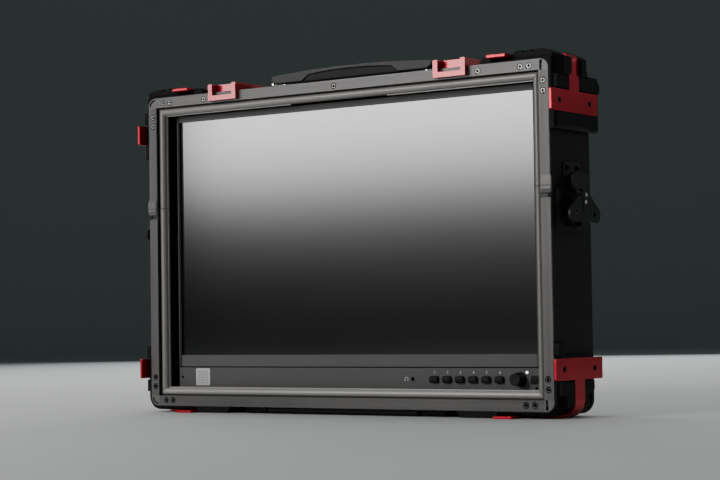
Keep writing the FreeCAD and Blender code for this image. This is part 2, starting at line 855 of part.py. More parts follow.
def case_blank():
    """Whole case as an open-fronted box."""
    outer = case_block(SHELL_FRONT)
    back_edges = edges_where(outer, lambda p: close_to(p.y, BACK))
    outer = outer.makeFillet(BACK_EDGE_R, back_edges)
    cavity = plate_xz(round_rect(-INNER_W, INNER_W, BOTTOM + PANEL_T, TOP - PANEL_T, CORNER_R - PANEL_T),
                      SHELL_FRONT - 1, BACK - PANEL_T)
    return outer.cut(cavity)


def make_shells():
    """Upper and lower shells, with the handle holes and the service window."""
    case = case_blank()
    upper = case.common(box(-REACH, REACH, -REACH, REACH, SPLIT_UP, REACH))
    lower = case.common(box(-REACH, REACH, -REACH, REACH, -REACH, SPLIT_DOWN))
    holes = []
    for x in (-POST_X, POST_X):
        low = Vector(x, HANDLE_MID, TOP - PANEL_T - 1)
        holes.append(rod(BUSH_R + SEAT_CLEAR, low, low + Z_AXIS * (PANEL_T + 2)))
    rim = round_rect(-WINDOW_HALF_W, WINDOW_HALF_W, BOTTOM + WINDOW_BOTTOM, BOTTOM + WINDOW_TOP, WINDOW_R)
    window = plate_xz(rim, BACK - PANEL_T - 1, BACK + 1)
    save("upper_shell", [upper.cut(holes)])
    save("lower_shell", [lower.cut(window)])


def tongue_strip(outer_x, outer_y, z0, z1):
    """U-shaped strip round the sides and back of the case."""
    y0 = FRONT + TONGUE_FROM
    strip = box(-outer_x, outer_x, y0, outer_y, z0, z1)
    hollow = box(-INNER_W + TONGUE_T, INNER_W - TONGUE_T, y0 - 1, BACK - PANEL_T - TONGUE_T, z0 - 1, z1 + 1)
    return strip.cut(hollow)


def make_tongue():
    """Locating tongue: seated in the lower shell, with room in the upper one."""
    low = tongue_strip(INNER_W, BACK - PANEL_T, SPLIT - TONGUE_BELOW, SPLIT)
    high = tongue_strip(INNER_W - TONGUE_RELIEF, BACK - PANEL_T - TONGUE_RELIEF, SPLIT, SPLIT + TONGUE_ABOVE)
    gap = box(-REACH, REACH, -REACH, REACH, SPLIT_DOWN, SPLIT)
    relieved = tongue_strip(INNER_W - TONGUE_RELIEF, BACK - PANEL_T - TONGUE_RELIEF, SPLIT_DOWN, SPLIT)
    save("closure_tongue", [joined([low.cut(gap), relieved, high])])


def make_skid():
    """Skid bar under the case."""
    y0 = FRONT + SKID_FROM
    skid = plate_xy(round_rect(-SKID_HALF_L, SKID_HALF_L, y0, y0 + SKID_D, SKID_R), BOTTOM - SKID_T, BOTTOM)
    low_edges = edges_where(skid, lambda p: close_to(p.z, BOTTOM - SKID_T))
    save("base_skid", [skid.makeChamfer(SKID_R / 2, low_edges)])


# Corner guards and straps

def guard_base(side_leg, top_leg, back, bend_r):
    """Top right guard's band: an L round the corner, chamfered along its front."""
    outer_r = bend_r + GUARD_CLEAR
    inset = outer_r * (1 - math.sqrt(0.5))
    side = HALF_W + GUARD_SIDE_T
    top = TOP + GUARD_TOP_T
    front = FRONT + GUARD_FRONT_SETBACK
    band = [
        (HALF_W - CORNER_R, TOP - side_leg),
        (side - GUARD_END_CHAMFER, TOP - side_leg),
        (side, TOP - side_leg + GUARD_END_CHAMFER),
        (side, top - outer_r),
        (side - inset, top - inset, side - outer_r, top),
        (HALF_W - top_leg + GUARD_END_CHAMFER, top),
        (HALF_W - top_leg, TOP),
        (HALF_W - top_leg, TOP - CORNER_R),
        (HALF_W - CORNER_R, TOP - CORNER_R),
    ]
    shell = plate_xz(band, front, back)
    edges = edges_where(shell, lambda p: close_to(p.y, front) and (p.x > HALF_W + 0.5 or p.z > TOP + 0.5))
    return shell.makeChamfer(GUARD_CHAMFER, edges)


def guard_flange():
    """Flange of an upper guard over the back of the case."""
    outer_r = STRAP_BEND_R + GUARD_CLEAR
    inset = outer_r * (1 - math.sqrt(0.5))
    side = HALF_W + GUARD_SIDE_T
    top = TOP + GUARD_TOP_T
    points = [
        (side, TOP - GUARD_BACK_LEG),
        (side, top - outer_r),
        (side - inset, top - inset, side - outer_r, top),
        (HALF_W - GUARD_BACK_LEG, top),
        (HALF_W - GUARD_BACK_LEG, TOP - GUARD_END_CHAMFER),
        (HALF_W - GUARD_BACK_LEG / 2, TOP - GUARD_BACK_LEG / 2,
         HALF_W - GUARD_END_CHAMFER, TOP - GUARD_BACK_LEG),
    ]
    return plate_xz(points, BACK, BACK + GUARD_BACK_T)


def end_wedges(side, top, y, inward):
    """Wedges that bevel one end of a bumper: its outer face in plan and its top in section."""
    plan = [
        (side - BULGE_PLAN_CUT, y),
        (side + 1, y),
        (side + 1, y + inward * (BULGE_PLAN_CUT + 1)),
    ]
    section = [
        (y, top - BULGE_TOP_CUT),
        (y, top + 1),
        (y + inward * (BULGE_TOP_CUT + 1), top + 1),
    ]
    return [plate_xy(plan, TOP - BULGE_SIDE_LEG - 1, top + 1),
            plate_yz(section, HALF_W - BULGE_TOP_LEG - 1, side + 1)]


def guard_bulge(y0, y1, side, top_t):
    """Thick bevelled bumper of a guard beside the strap's arm."""
    top = TOP + top_t
    left = HALF_W - BULGE_TOP_LEG
    low = TOP - BULGE_SIDE_LEG
    points = [
        (HALF_W - CORNER_R, low),
        (side - BULGE_CHAMFER, low),
        (side, low + BULGE_CHAMFER),
        (side, top - BULGE_BEVEL_Z),
        (side - BULGE_BEVEL_X, top),
        (left + BULGE_CHAMFER, top),
        (left, top - BULGE_CHAMFER),
        (left, TOP - CORNER_R),
        (HALF_W - CORNER_R, TOP - CORNER_R),
    ]
    return plate_xz(points, y0, y1)


def guard_steps(front_y, rear_y, back):
    """Lower ledge under the bumpers, bevelled at the rear."""
    inner = HALF_W + GUARD_SIDE_T / 2
    outer = HALF_W + BULGE_STEP_T
    low = TOP - BULGE_STEP_LEG
    high = TOP - BULGE_SIDE_LEG + 1
    rear = [
        (rear_y, low),
        (back, low),
        (back, high - BULGE_STEP_BEVEL),
        (back - BULGE_STEP_BEVEL, high),
        (rear_y, high),
    ]
    return [box(inner, outer, FRONT + BULGE_SETBACK, front_y, low, high), plate_yz(rear, inner, outer)]


def guard_grooves(y0, y1, top_t):
    """Tread grooves across the top of a bumper."""
    floor = TOP + top_t - GROOVE_D
    first = HALF_W - BULGE_TOP_LEG + GROOVE_PITCH
    return [box(first + step * GROOVE_PITCH - GROOVE_W / 2, first + step * GROOVE_PITCH + GROOVE_W / 2,
                y0 - 1, y1 + 1, floor, TOP + top_t + 1) for step in range(2)]


def top_rim(top_leg, back):
    """Raised end of the guard's long leg, beside the strap's bar."""
    left = HALF_W - top_leg
    right = HALF_W - STRAP_TOP_END - RIM_GAP
    points = [
        (left, TOP - CORNER_R),
        (left, TOP + RIM_TOP_T - RIM_CHAMFER),
        (left + RIM_CHAMFER, TOP + RIM_TOP_T),
        (right, TOP + RIM_TOP_T),
        (right, TOP - CORNER_R),
    ]
    return plate_xz(points, FRONT + GUARD_FRONT_SETBACK, back)


def side_rim(side_leg, back):
    """Raised end of the guard's side leg, tapered to the rear."""
    outer = HALF_W + RIM_SIDE_T
    high = TOP - STRAP_SIDE_END - RIM_GAP
    low = TOP - side_leg
    points = [
        (HALF_W - CORNER_R, low),
        (outer - RIM_CHAMFER, low),
        (outer, low + RIM_CHAMFER),
        (outer, high),
        (HALF_W - CORNER_R, high),
    ]
    front = FRONT + GUARD_FRONT_SETBACK
    rim = plate_xz(points, front, back)
    tapered = [
        (outer + 1, back - RIM_BACK_TAPER),
        (outer, back - RIM_BACK_TAPER),
        (outer - RIM_CHAMFER, back + 1),
        (outer + 1, back + 1),
    ]
    eased = [(outer - RIM_CHAMFER, front - 1), (outer + 1, front - 1), (outer + 1, front + RIM_CHAMFER)]
    return rim.cut([plate_xy(tapered, low - 1, high + 1), plate_xy(eased, low - 1, high + 1)])


def rear_notch():
    """Room cut from the rear corner of an upper guard, above its ledge."""
    return box(HALF_W - GUARD_NOTCH_IN, REACH, FRONT + BULGE_BACK, REACH, TOP - BULGE_SIDE_LEG + 1, REACH)


def side_lobe():
    """Rounded lobe of a lower guard beside the front frame."""
    front = FRONT + GUARD_FRONT_SETBACK
    points = round_rect(front, front + LOBE_D, TOP - LOBE_LEG, TOP - STRAP_SIDE_END - RIM_GAP, LOBE_R)
    return plate_yz(points, HALF_W - CORNER_R, HALF_W + GUARD_SIDE_T)


def corner_guard(upper):
    """Top right guard, drilled for the strap's screws. A lower one is plainer and turned over later."""
    front_y = FRONT + STRAP_ARM_FROM - ARM_CLEAR
    rear_y = FRONT + STRAP_ARM_FROM + STRAP_ARM_W + ARM_CLEAR
    spans = ((FRONT + BULGE_SETBACK, front_y), (rear_y, FRONT + BULGE_BACK))
    cuts = [case_block(FRONT)] + strap_screws(SCREW_CLEAR)
    if upper:
        side = HALF_W + BULGE_SIDE_T
        top_t = BULGE_TOP_T
        back = BACK + GUARD_BACK_T
        solids = [guard_base(GUARD_SIDE_LEG, GUARD_TOP_LEG, back, STRAP_BEND_R), guard_flange()]
        solids += [top_rim(GUARD_TOP_LEG, back), side_rim(GUARD_SIDE_LEG, BACK)]
        solids += guard_steps(front_y, rear_y, back)
        cuts.append(rear_notch())
    else:
        side = HALF_W + BULGE_LOW_SIDE_T
        top_t = BULGE_UNDER_T
        back = BACK - GUARD_UNDER_SHORT
        solids = [guard_base(GUARD_UNDER_SIDE_LEG, GUARD_UNDER_LEG, back, STRAP_LOW_BEND_R)]
        solids += [top_rim(GUARD_UNDER_LEG, back), side_lobe()]
        solids += guard_steps(front_y, rear_y, back - BULGE_STEP_SHORT)
    cuts += end_wedges(side, TOP + top_t, spans[0][0], 1) + end_wedges(side, TOP + top_t, spans[1][1], -1)
    for y0, y1 in spans:
        solids.append(guard_bulge(y0, y1, side, top_t))
        if upper:
            cuts += guard_grooves(y0, y1, top_t)
    return joined(solids).cut(cuts)


def make_guards():
    """Four corner guards. The lower ones stay above the straps that carry the case."""
    save("corner_guards_top", pair(corner_guard(True)))
    save("corner_guards_bottom", pair(to_bottom(corner_guard(False))))


def strap_bar(x0, x1, z0, z1, thin_axis):
    """One flat bar of a strap with eased corners."""
    y0 = FRONT - STRAP_REACH
    bar = box(x0, x1, y0, y0 + STRAP_LEN, z0, z1)
    corners = [edge for edge in bar.Edges if abs(edge.tangentAt(edge.FirstParameter).dot(thin_axis)) > 0.9]
    return bar.makeFillet(STRAP_EDGE_R, corners)


def corner_strap(bend_r):
    """Top right strap: two bars joined by an arm bent round the corner."""
    side = HALF_W + GUARD_SIDE_T
    top = TOP + GUARD_TOP_T
    outer_side = side + STRAP_T
    outer_top = top + STRAP_T
    outer_r = bend_r + STRAP_T
    inset = bend_r * (1 - math.sqrt(0.5))
    outer_inset = outer_r * (1 - math.sqrt(0.5))
    side_from = TOP - STRAP_SIDE_FROM
    top_from = HALF_W - STRAP_TOP_FROM
    arm = [
        (side, side_from - STRAP_T),
        (outer_side, side_from - STRAP_T),
        (outer_side, outer_top - outer_r),
        (outer_side - outer_inset, outer_top - outer_inset, outer_side - outer_r, outer_top),
        (top_from - STRAP_T, outer_top),
        (top_from - STRAP_T, top),
        (side - bend_r, top),
        (side - inset, top - inset, side, top - bend_r),
    ]
    arm_y = FRONT + STRAP_ARM_FROM
    solids = [
        strap_bar(side, outer_side, side_from - STRAP_SIDE_W, side_from, X_AXIS),
        strap_bar(top_from - STRAP_TOP_W, top_from, top, outer_top, Z_AXIS),
        plate_xz(arm, arm_y, arm_y + STRAP_ARM_W),
    ]
    return joined(solids).cut(strap_screws(SCREW_CLEAR))


def make_straps():
    """Four corner straps. The bars of the lower ones are the feet."""
    save("corner_straps_top", pair(corner_strap(STRAP_BEND_R)))
    save("corner_straps_bottom", pair(to_bottom(corner_strap(STRAP_LOW_BEND_R))))


# Latches, built on the right side

def side_point(p, y, z):
    """Point on the right side: out from the panel, along the latch and up from the joint."""
    return Vector(HALF_W + p, LATCH_Y + y, SPLIT + z)


def latch_box(p0, p1, y0, y1, z0, z1):
    """Box in latch measures."""
    return box(HALF_W + p0, HALF_W + p1, LATCH_Y + y0, LATCH_Y + y1, SPLIT + z0, SPLIT + z1)


def latch_plate(points, p0, p1):
    """Outline of (along, up) points in latch measures, made solid."""
    moved = []
    for point in points:
        pairs = [(point[i] + LATCH_Y, point[i + 1] + SPLIT) for i in range(0, len(point), 2)]
        moved.append(tuple(value for spot in pairs for value in spot))
    return plate_yz(moved, HALF_W + p0, HALF_W + p1)


def latch_screw_sets(clear=0.0):
    """Screws of the latch base and of the keeper, or their holes."""
    base = []
    keeper = []
    for side in (-1, 1):
        low = side_point(LATCH_PLATE_T, side * LATCH_SCREW_HALF_W, -LATCH_SCREW_DROP)
        high = side_point(KEEPER_T, side * KEEPER_SCREW_HALF_W, KEEPER_SCREW_RISE)
        base.append(pan_screw(low, -X_AXIS, LATCH_PLATE_T, clear))
        keeper.append(pan_screw(high, -X_AXIS, KEEPER_T, clear))
    return base, keeper


def latch_base():
    """Base plate with the slider's guides."""
    plate = latch_plate(round_rect(-LATCH_PLATE_HALF_W, LATCH_PLATE_HALF_W, LATCH_PLATE_LOW,
                                   LATCH_PLATE_HIGH, LATCH_PLATE_R), 0, LATCH_PLATE_T)
    guides = [latch_box(0, GUIDE_P, y, y + GUIDE_T, GUIDE_LOW, GUIDE_HIGH)
              for y in (GUIDE_IN, -GUIDE_IN - GUIDE_T)]
    boss = rod(CAM_AXLE_R + GUIDE_T, side_point(0, 0, -CAM_DROP), side_point(LATCH_PLATE_T, 0, -CAM_DROP))
    bore = rod(CAM_AXLE_R + RUN_CLEAR, side_point(0, 0, -CAM_DROP), side_point(GUIDE_P, 0, -CAM_DROP))
    return joined([plate, boss] + guides).cut([bore] + latch_screw_sets(SCREW_CLEAR)[0])


def latch_keeper():
    """Keeper on the upper shell, with the ledge that the hook takes."""
    plate = latch_plate(round_rect(-KEEPER_HALF_W, KEEPER_HALF_W, KEEPER_LOW, KEEPER_HIGH, KEEPER_R),
                        0, KEEPER_T)
    ledge = latch_box(0, KEEPER_LEDGE_P, -KEEPER_LEDGE_HALF_W, KEEPER_LEDGE_HALF_W,
                      KEEPER_LOW, KEEPER_LEDGE_HIGH)
    return joined([plate, ledge]).cut(latch_screw_sets(SCREW_CLEAR)[1])


def latch_slider():
    """Slider with the cam's slot and the hook's pin."""
    half_w = GUIDE_IN - SLIDE_CLEAR
    inner_p = LATCH_PLATE_T + SLIDE_CLEAR
    slot_half = CAM_AXLE_R + CAM_SLOT_CLEAR
    plate = latch_box(inner_p, GUIDE_P, -half_w, half_w, SLIDER_LOW, SLIDER_HIGH)
    slot = latch_plate(round_rect(-slot_half, slot_half, -CAM_DROP - slot_half,
                                  -CAM_DROP + slot_half + SLIDE_TRAVEL, slot_half - CAM_SLOT_CLEAR / 2),
                       0, GUIDE_P + 1)
    neck = latch_box(inner_p, HOOK_PIN_P, -HOOK_NECK_HALF_W, HOOK_NECK_HALF_W,
                     -HOOK_PIN_DROP - HOOK_PIN_R, SLIDER_HIGH)
    pin = rod(HOOK_PIN_R, side_point(HOOK_PIN_P, -HOOK_RING_OUT, -HOOK_PIN_DROP),
              side_point(HOOK_PIN_P, HOOK_RING_OUT, -HOOK_PIN_DROP))
    return joined([plate.cut(slot), neck, pin])


def latch_hook():
    """Hook on the slider's pin, leaning out clear of the keeper."""
    plate_p0 = HOOK_PIN_P - HOOK_PLATE_T / 2
    plate_p1 = HOOK_PIN_P + HOOK_PLATE_T / 2
    plate = latch_plate(round_rect(-HOOK_PLATE_HALF_W, HOOK_PLATE_HALF_W, HOOK_PLATE_LOW, HOOK_PLATE_HIGH,
                                   HOOK_PLATE_R), plate_p0, plate_p1)
    lip_half = HOOK_PLATE_HALF_W - HOOK_PLATE_R
    lip = latch_box(plate_p0 - HOOK_LIP_REACH, plate_p0, -lip_half, lip_half,
                    HOOK_PLATE_HIGH - HOOK_LIP_T, HOOK_PLATE_HIGH)
    solids = [plate, lip]
    bores = []
    for side in (-1, 1):
        near = side_point(HOOK_PIN_P, side * HOOK_RING_IN, -HOOK_PIN_DROP)
        far = side_point(HOOK_PIN_P, side * HOOK_RING_OUT, -HOOK_PIN_DROP)
        solids.append(rod(HOOK_RING_R, near, far))
        edge0, edge1 = sorted((side * HOOK_RING_IN, side * HOOK_RING_OUT))
        solids.append(latch_box(plate_p0, plate_p1, edge0, edge1, -HOOK_PIN_DROP, HOOK_PLATE_LOW))
        bores.append(rod(HOOK_PIN_R + RUN_CLEAR, near - Y_AXIS * side, far + Y_AXIS * side))
    hook = joined(solids).cut(bores)
    hook.rotate(side_point(HOOK_PIN_P, 0, -HOOK_PIN_DROP), Y_AXIS, HOOK_LEAN)
    return hook


def latch_cam():
    """Cam: axle through the base, and a tongue outside with the key's pin."""
    axle = rod(CAM_AXLE_R, side_point(0, 0, -CAM_DROP), side_point(TONGUE_P, 0, -CAM_DROP))
    tongue = latch_plate(round_rect(-TONGUE_HALF_W, TONGUE_HALF_W, TONGUE_LOW, TONGUE_HIGH,
                                    TONGUE_HALF_W - CAM_SLOT_CLEAR), TONGUE_P, TONGUE_FACE_P)
    pin_p = LATCH_KEY_P + LATCH_KEY_T / 2
    pin = rod(KEY_PIN_R, side_point(pin_p, -KEY_PIN_HALF_L, -KEY_PIN_DROP),
              side_point(pin_p, KEY_PIN_HALF_L, -KEY_PIN_DROP))
    return joined([axle, tongue, pin])


def latch_key():
    """Butterfly key: two wings below a notch that straddles the tongue."""
    top = LATCH_KEY_HIGH
    tip = top - LATCH_KEY_TIP_DROP
    shoulder = top - LATCH_KEY_SHOULDER_DROP
    heel = top - LATCH_KEY_H
    dip = heel + LATCH_KEY_T / 2
    outer = [
        (LATCH_KEY_TOP_HALF_W, top),
        (-LATCH_KEY_TOP_HALF_W, top),
        (-LATCH_KEY_SHOULDER_X, shoulder),
        (-LATCH_KEY_HALF_W, tip, -LATCH_KEY_HEEL_X, heel),
        (0, dip, LATCH_KEY_HEEL_X, heel),
        (LATCH_KEY_HALF_W, tip, LATCH_KEY_SHOULDER_X, shoulder),
    ]
    key = latch_plate(outer, LATCH_KEY_P, LATCH_KEY_P + LATCH_KEY_T)
    notch_half = TONGUE_HALF_W + TONGUE_SIDE_CLEAR
    notch_low = min(TONGUE_LOW - TONGUE_SIDE_CLEAR, top - LATCH_KEY_NOTCH_D)
    notch = latch_plate(round_rect(-notch_half, notch_half, notch_low, top + notch_half * 2,
                                   notch_half - CAM_SLOT_CLEAR), 0, TONGUE_FACE_P + 1)
    pin_p = LATCH_KEY_P + LATCH_KEY_T / 2
    pin_half = KEY_PIN_HALF_L + TONGUE_SIDE_CLEAR
    cuts = [notch, rod(KEY_PIN_R + RUN_CLEAR, side_point(pin_p, -pin_half, -KEY_PIN_DROP),
                       side_point(pin_p, pin_half, -KEY_PIN_DROP))]
    for side in (-1, 1):
        spot = side_point(0, side * LATCH_KEY_HOLE_X, top - LATCH_KEY_HOLE_DROP)
        cuts.append(rod(LATCH_KEY_HOLE_R, spot, spot + X_AXIS * (TONGUE_FACE_P + 1)))
    return key.cut(cuts)


def make_latches():
    """Both latches: fixed pieces as pairs, moving pieces one node each."""
    save("latch_bases", pair(latch_base()))
    save("latch_keepers", pair(latch_keeper()))
    for name, solid in (("slider", latch_slider()), ("hook", latch_hook()),
                        ("cam", latch_cam()), ("key", latch_key())):
        save("latch_" + name + "_right", [solid])
        save("latch_" + name + "_left", [to_left(solid)])


# Lid brackets and handle

def lid_bracket():
    """Right lid bracket: a block on the case top with a notched tongue over the rail."""
    x0 = HOOK_X - HOOK_W / 2
    x1 = HOOK_X + HOOK_W / 2
    side = [
        (FRONT - HOOK_REACH, TOP - HOOK_DROP),
        (FRONT, TOP - HOOK_DROP),
        (FRONT, TOP),
        (FRONT + HOOK_BACK, TOP),
        (FRONT + HOOK_BACK, TOP + HOOK_RISE - HOOK_CHAMFER),
        (FRONT + HOOK_BACK - HOOK_CHAMFER, TOP + HOOK_RISE),
        (FRONT - HOOK_REACH, TOP + HOOK_RISE),
    ]
    bracket = plate_yz(side, x0, x1)
    slot = box(x0 + HOOK_ARM, x1 - HOOK_ARM, FRONT - HOOK_REACH - 1, FRONT + HOOK_SLOT_BACK,
               TOP - HOOK_DROP + HOOK_BAR, TOP + HOOK_RISE + 1)
    return bracket.cut(slot)


def handle_outline():
    """Front view of the handle's frame: arched strap with two end blocks."""
    end = HANDLE_HALF_L
    block = end - HANDLE_TIP_L
    heel = end - HANDLE_HEEL_L
    inner_crown = TOP + HANDLE_CROWN - HANDLE_STRAP_T
    inner_end = TOP + HANDLE_END_H
    return [
        (-block, TOP + HANDLE_END_H),
        (0, TOP + HANDLE_CROWN, block, TOP + HANDLE_END_H),
        (end, TOP + HANDLE_TIP_H),
        (end, TOP + HANDLE_HEEL_H),
        (heel, TOP + HANDLE_UNDER),
        (GRIP_LOW_HALF_L, TOP + HANDLE_UNDER),
        (GRIP_TOP_HALF_L, inner_end - HANDLE_STRAP_T / 2),
        (0, inner_crown, -GRIP_TOP_HALF_L, inner_end - HANDLE_STRAP_T / 2),
        (-GRIP_LOW_HALF_L, TOP + HANDLE_UNDER),
        (-heel, TOP + HANDLE_UNDER),
        (-end, TOP + HANDLE_HEEL_H),
        (-end, TOP + HANDLE_TIP_H),
    ]


def grip_outline():
    """Front view of the soft grip that fills the handle's middle."""
    top = TOP + HANDLE_END_H - HANDLE_STRAP_T / 2 - GRIP_CLEAR
    low = TOP + HANDLE_UNDER
    crown = TOP + HANDLE_CROWN - HANDLE_STRAP_T - GRIP_CLEAR
    return [
        (-GRIP_TOP_HALF_L + GRIP_CLEAR, top),
        (0, crown, GRIP_TOP_HALF_L - GRIP_CLEAR, top),
        (GRIP_LOW_HALF_L - GRIP_CLEAR, low),
        (0, low + GRIP_ARCH, -GRIP_LOW_HALF_L + GRIP_CLEAR, low),
    ]


def make_handle():
    """Handle frame, grip, posts and the bushes that guide them."""
    frame = plate_xz(handle_outline(), HANDLE_Y0, HANDLE_Y1)
    top_edges = edges_where(frame, lambda p: (close_to(p.y, HANDLE_Y0) or close_to(p.y, HANDLE_Y1))
                            and p.z > TOP + HANDLE_END_H - 1e-3)
    crown = [edge for edge in top_edges if edge.BoundBox.YLength < 1e-4
             and edge.BoundBox.XLength > 2 * GRIP_LOW_HALF_L]
    frame = frame.makeFillet(HANDLE_EDGE_R, crown)
    bush_low = TOP - PANEL_T - BUSH_TAIL
    shoulder = TOP + BUSH_FLANGE_T + SEAT_CLEAR
    stop = bush_low - HANDLE_TRAVEL - POST_STOP
    posts = []
    bushes = []
    sockets = []
    for x in (-POST_X, POST_X):
        def at(z):
            return Vector(x, HANDLE_MID, z)
        under = TOP + HANDLE_UNDER
        posts.append(joined([
            rod(POST_R, at(stop - POST_COLLAR_T), at(under + POST_INSERT)),
            rod(POST_SHOULDER_R, at(shoulder), at(under)),
            rod(POST_COLLAR_R, at(stop - POST_COLLAR_T), at(stop)),
        ]))
        sockets.append(rod(POST_R + RUN_CLEAR, at(under - 1), at(under + POST_INSERT + SEAT_CLEAR)))
        bush = joined([
            rod(BUSH_R, at(bush_low), at(TOP)),
            rod(BUSH_FLANGE_R, at(TOP), at(TOP + BUSH_FLANGE_T)),
        ])
        bushes.append(bush.cut(rod(POST_R + RUN_CLEAR, at(bush_low - 1), at(TOP + BUSH_FLANGE_T + 1))))
    save("handle_frame", [frame.cut(sockets)])
    save("handle_grip", [plate_xz(grip_outline(), HANDLE_Y0 + GRIP_SETBACK, HANDLE_Y1 - GRIP_SETBACK)])
    save("handle_posts", posts)
    save("handle_bushes", bushes)


# Monitor

def make_bezel():
    """Bezel: a folded tray with the screen's window."""
    z0 = BOTTOM + BEZEL_SEAM
    z1 = BOTTOM + MON_TOP
    tray = box(-MON_HALF_W, MON_HALF_W, MON_FRONT, MON_BACK, z0, z1)
    hollow = box(-MON_HALF_W + SHEET_T, MON_HALF_W - SHEET_T, MON_FRONT + SHEET_T, MON_BACK + 1,
                 z0 + SHEET_T, z1 - SHEET_T)
    screen_z = BOTTOM + SCREEN_BOTTOM
    window = box(-SCREEN_W / 2, SCREEN_W / 2, MON_FRONT - 1, MON_FRONT + SHEET_T + 1,
                 screen_z, screen_z + SCREEN_H)
    save("monitor_bezel", [tray.cut([hollow, window])])
    lcd = box(-SCREEN_W / 2 - SCREEN_LAP, SCREEN_W / 2 + SCREEN_LAP, MON_FRONT + SHEET_T,
              MON_FRONT + SHEET_T + LCD_T, screen_z - SCREEN_LAP, screen_z + SCREEN_H + SCREEN_LAP)
    save("lcd_panel", [lcd])


def button_centres():
    """Middle of each push button along the panel."""
    return [BUTTON_X + step * BUTTON_PITCH for step in range(BUTTON_COUNT)]


def button_outline(x, width, grow):
    """Rounded outline of a button or of its hole."""
    z = BOTTOM + CONTROL_Z
    return round_rect(x - width / 2 - grow, x + width / 2 + grow, z - BUTTON_H / 2 - grow,
                      z + BUTTON_H / 2 + grow, BUTTON_R + grow)


def switch_face():
    """Plane of the switches' pressed ends."""
    return BOARD_FRONT - SWITCH_T


def push_button(x, width, proud):
    """Button cap with its flange behind the panel and a stem towards its switch."""
    face = MON_FRONT - proud
    cap = plate_xz(button_outline(x, width, 0), face, MON_FRONT + SHEET_T + BUTTON_CLEAR)
    rim = [edge for edge in edges_where(cap, lambda p: close_to(p.y, face))]
    cap = cap.makeFillet(min(BUTTON_DOME, proud / 2), rim)
    flange_y = MON_FRONT + SHEET_T + BUTTON_CLEAR
    flange = plate_xz(button_outline(x, width, BUTTON_FLANGE), flange_y, flange_y + BUTTON_FLANGE_T)
    z = BOTTOM + CONTROL_Z
    stem_end = switch_face() - BUTTON_TRAVEL - BUTTON_CLEAR
    stem = rod(BUTTON_STEM_R, Vector(x, flange_y, z), Vector(x, stem_end, z))
    return joined([cap, flange, stem])


def make_buttons():
    """Six push buttons and the power button."""
    for number, x in enumerate(button_centres(), 1):
        save("button_%d" % number, [push_button(x, BUTTON_W, BUTTON_PROUD)])
    save("power_button", [push_button(POWER_X, POWER_W, POWER_PROUD)])


def knob_point(y):
    """Point on the knob's axis."""
    return Vector(KNOB_X, y, BOTTOM + KNOB_Z)


def make_knob():
    """Encoder body, its shaft and the knob."""
    bush_front = MON_FRONT - ENCODER_BUSH_L
    half = ENCODER_W / 2
    body_y = MON_FRONT + SHEET_T
    z = BOTTOM + KNOB_Z
    body = joined([
        box(KNOB_X - half, KNOB_X + half, body_y, BOARD_FRONT, z - half, z + half),
        rod(ENCODER_BUSH_R, knob_point(bush_front), knob_point(body_y)),
    ])
    shaft_end = MON_FRONT + SHEET_T + SHAFT_IN_BODY
    bore = rod(SHAFT_R + RUN_CLEAR, knob_point(bush_front - 1), knob_point(shaft_end + SEAT_CLEAR))
    save("encoder_body", [body.cut(bore)])
    knob_back = MON_FRONT - KNOB_GAP
    knob_front = knob_back - KNOB_L
    shaft_front = bush_front - SHAFT_IN_KNOB + KNOB_GAP
    save("encoder_shaft", [rod(SHAFT_R, knob_point(shaft_front), knob_point(shaft_end))])
    knob = taper(KNOB_R, KNOB_TIP_R, knob_point(knob_back), knob_point(knob_front))
    knob = knob.makeFillet(KNOB_EDGE_R, edges_where(knob, lambda p: close_to(p.y, knob_front)))
    hollow = rod(ENCODER_BUSH_R + SLIDE_CLEAR, knob_point(knob_back + 1),
                 knob_point(bush_front - SLIDE_CLEAR))
    socket = rod(SHAFT_R + RUN_CLEAR, knob_point(knob_back + 1), knob_point(shaft_front - SEAT_CLEAR))
    save("knob", [knob.cut([hollow, socket])])


def make_jack():
    """Headphone socket with its nut, and the power light's pipe."""
    def at(y):
        return Vector(JACK_X, y, BOTTOM + JACK_Z)
    half = JACK_BODY_W / 2
    z = BOTTOM + JACK_Z
    front = MON_FRONT - JACK_NUT_T
    body_back = front + JACK_BORE_L + SHEET_T
    jack = joined([
        rod(JACK_NUT_R, at(front), at(MON_FRONT)),
        rod(JACK_R, at(MON_FRONT), at(MON_FRONT + SHEET_T)),
        box(JACK_X - half, JACK_X + half, MON_FRONT + SHEET_T, body_back, z - half, z + half),
    ])
    save("headphone_jack", [jack.cut(rod(JACK_BORE_R, at(front - 1), at(front + JACK_BORE_L)))])
    led_z = BOTTOM + LED_Z
    save("power_light", [rod(LED_R, Vector(LED_X, MON_FRONT - LED_PROUD, led_z),
                             Vector(LED_X, BOARD_FRONT, led_z))])


def panel_screw_points():
    """Control panel screws, one at each end."""
    left_z, right_z = PANEL_SCREW_Z
    return [Vector(-PANEL_SCREW_X, MON_FRONT, BOTTOM + left_z),
            Vector(PANEL_SCREW_X, MON_FRONT, BOTTOM + right_z)]


def panel_screws(clear=0.0):
    """Screws of the control panel, or their holes."""
    return [sunk_screw(point, Y_AXIS, PANEL_SCREW_HEAD_R, PANEL_SCREW_R, PANEL_SCREW_L, clear)
            for point in panel_screw_points()]


def board_bosses():
    """Bosses behind the control panel that carry its board."""
    z = BOTTOM + MON_BOTTOM + BOARD_BOSS_RISE
    return [rod(BOARD_BOSS_R, Vector(x, MON_FRONT, z), Vector(x, BOARD_FRONT, z)) for x in BOARD_BOSS_X]


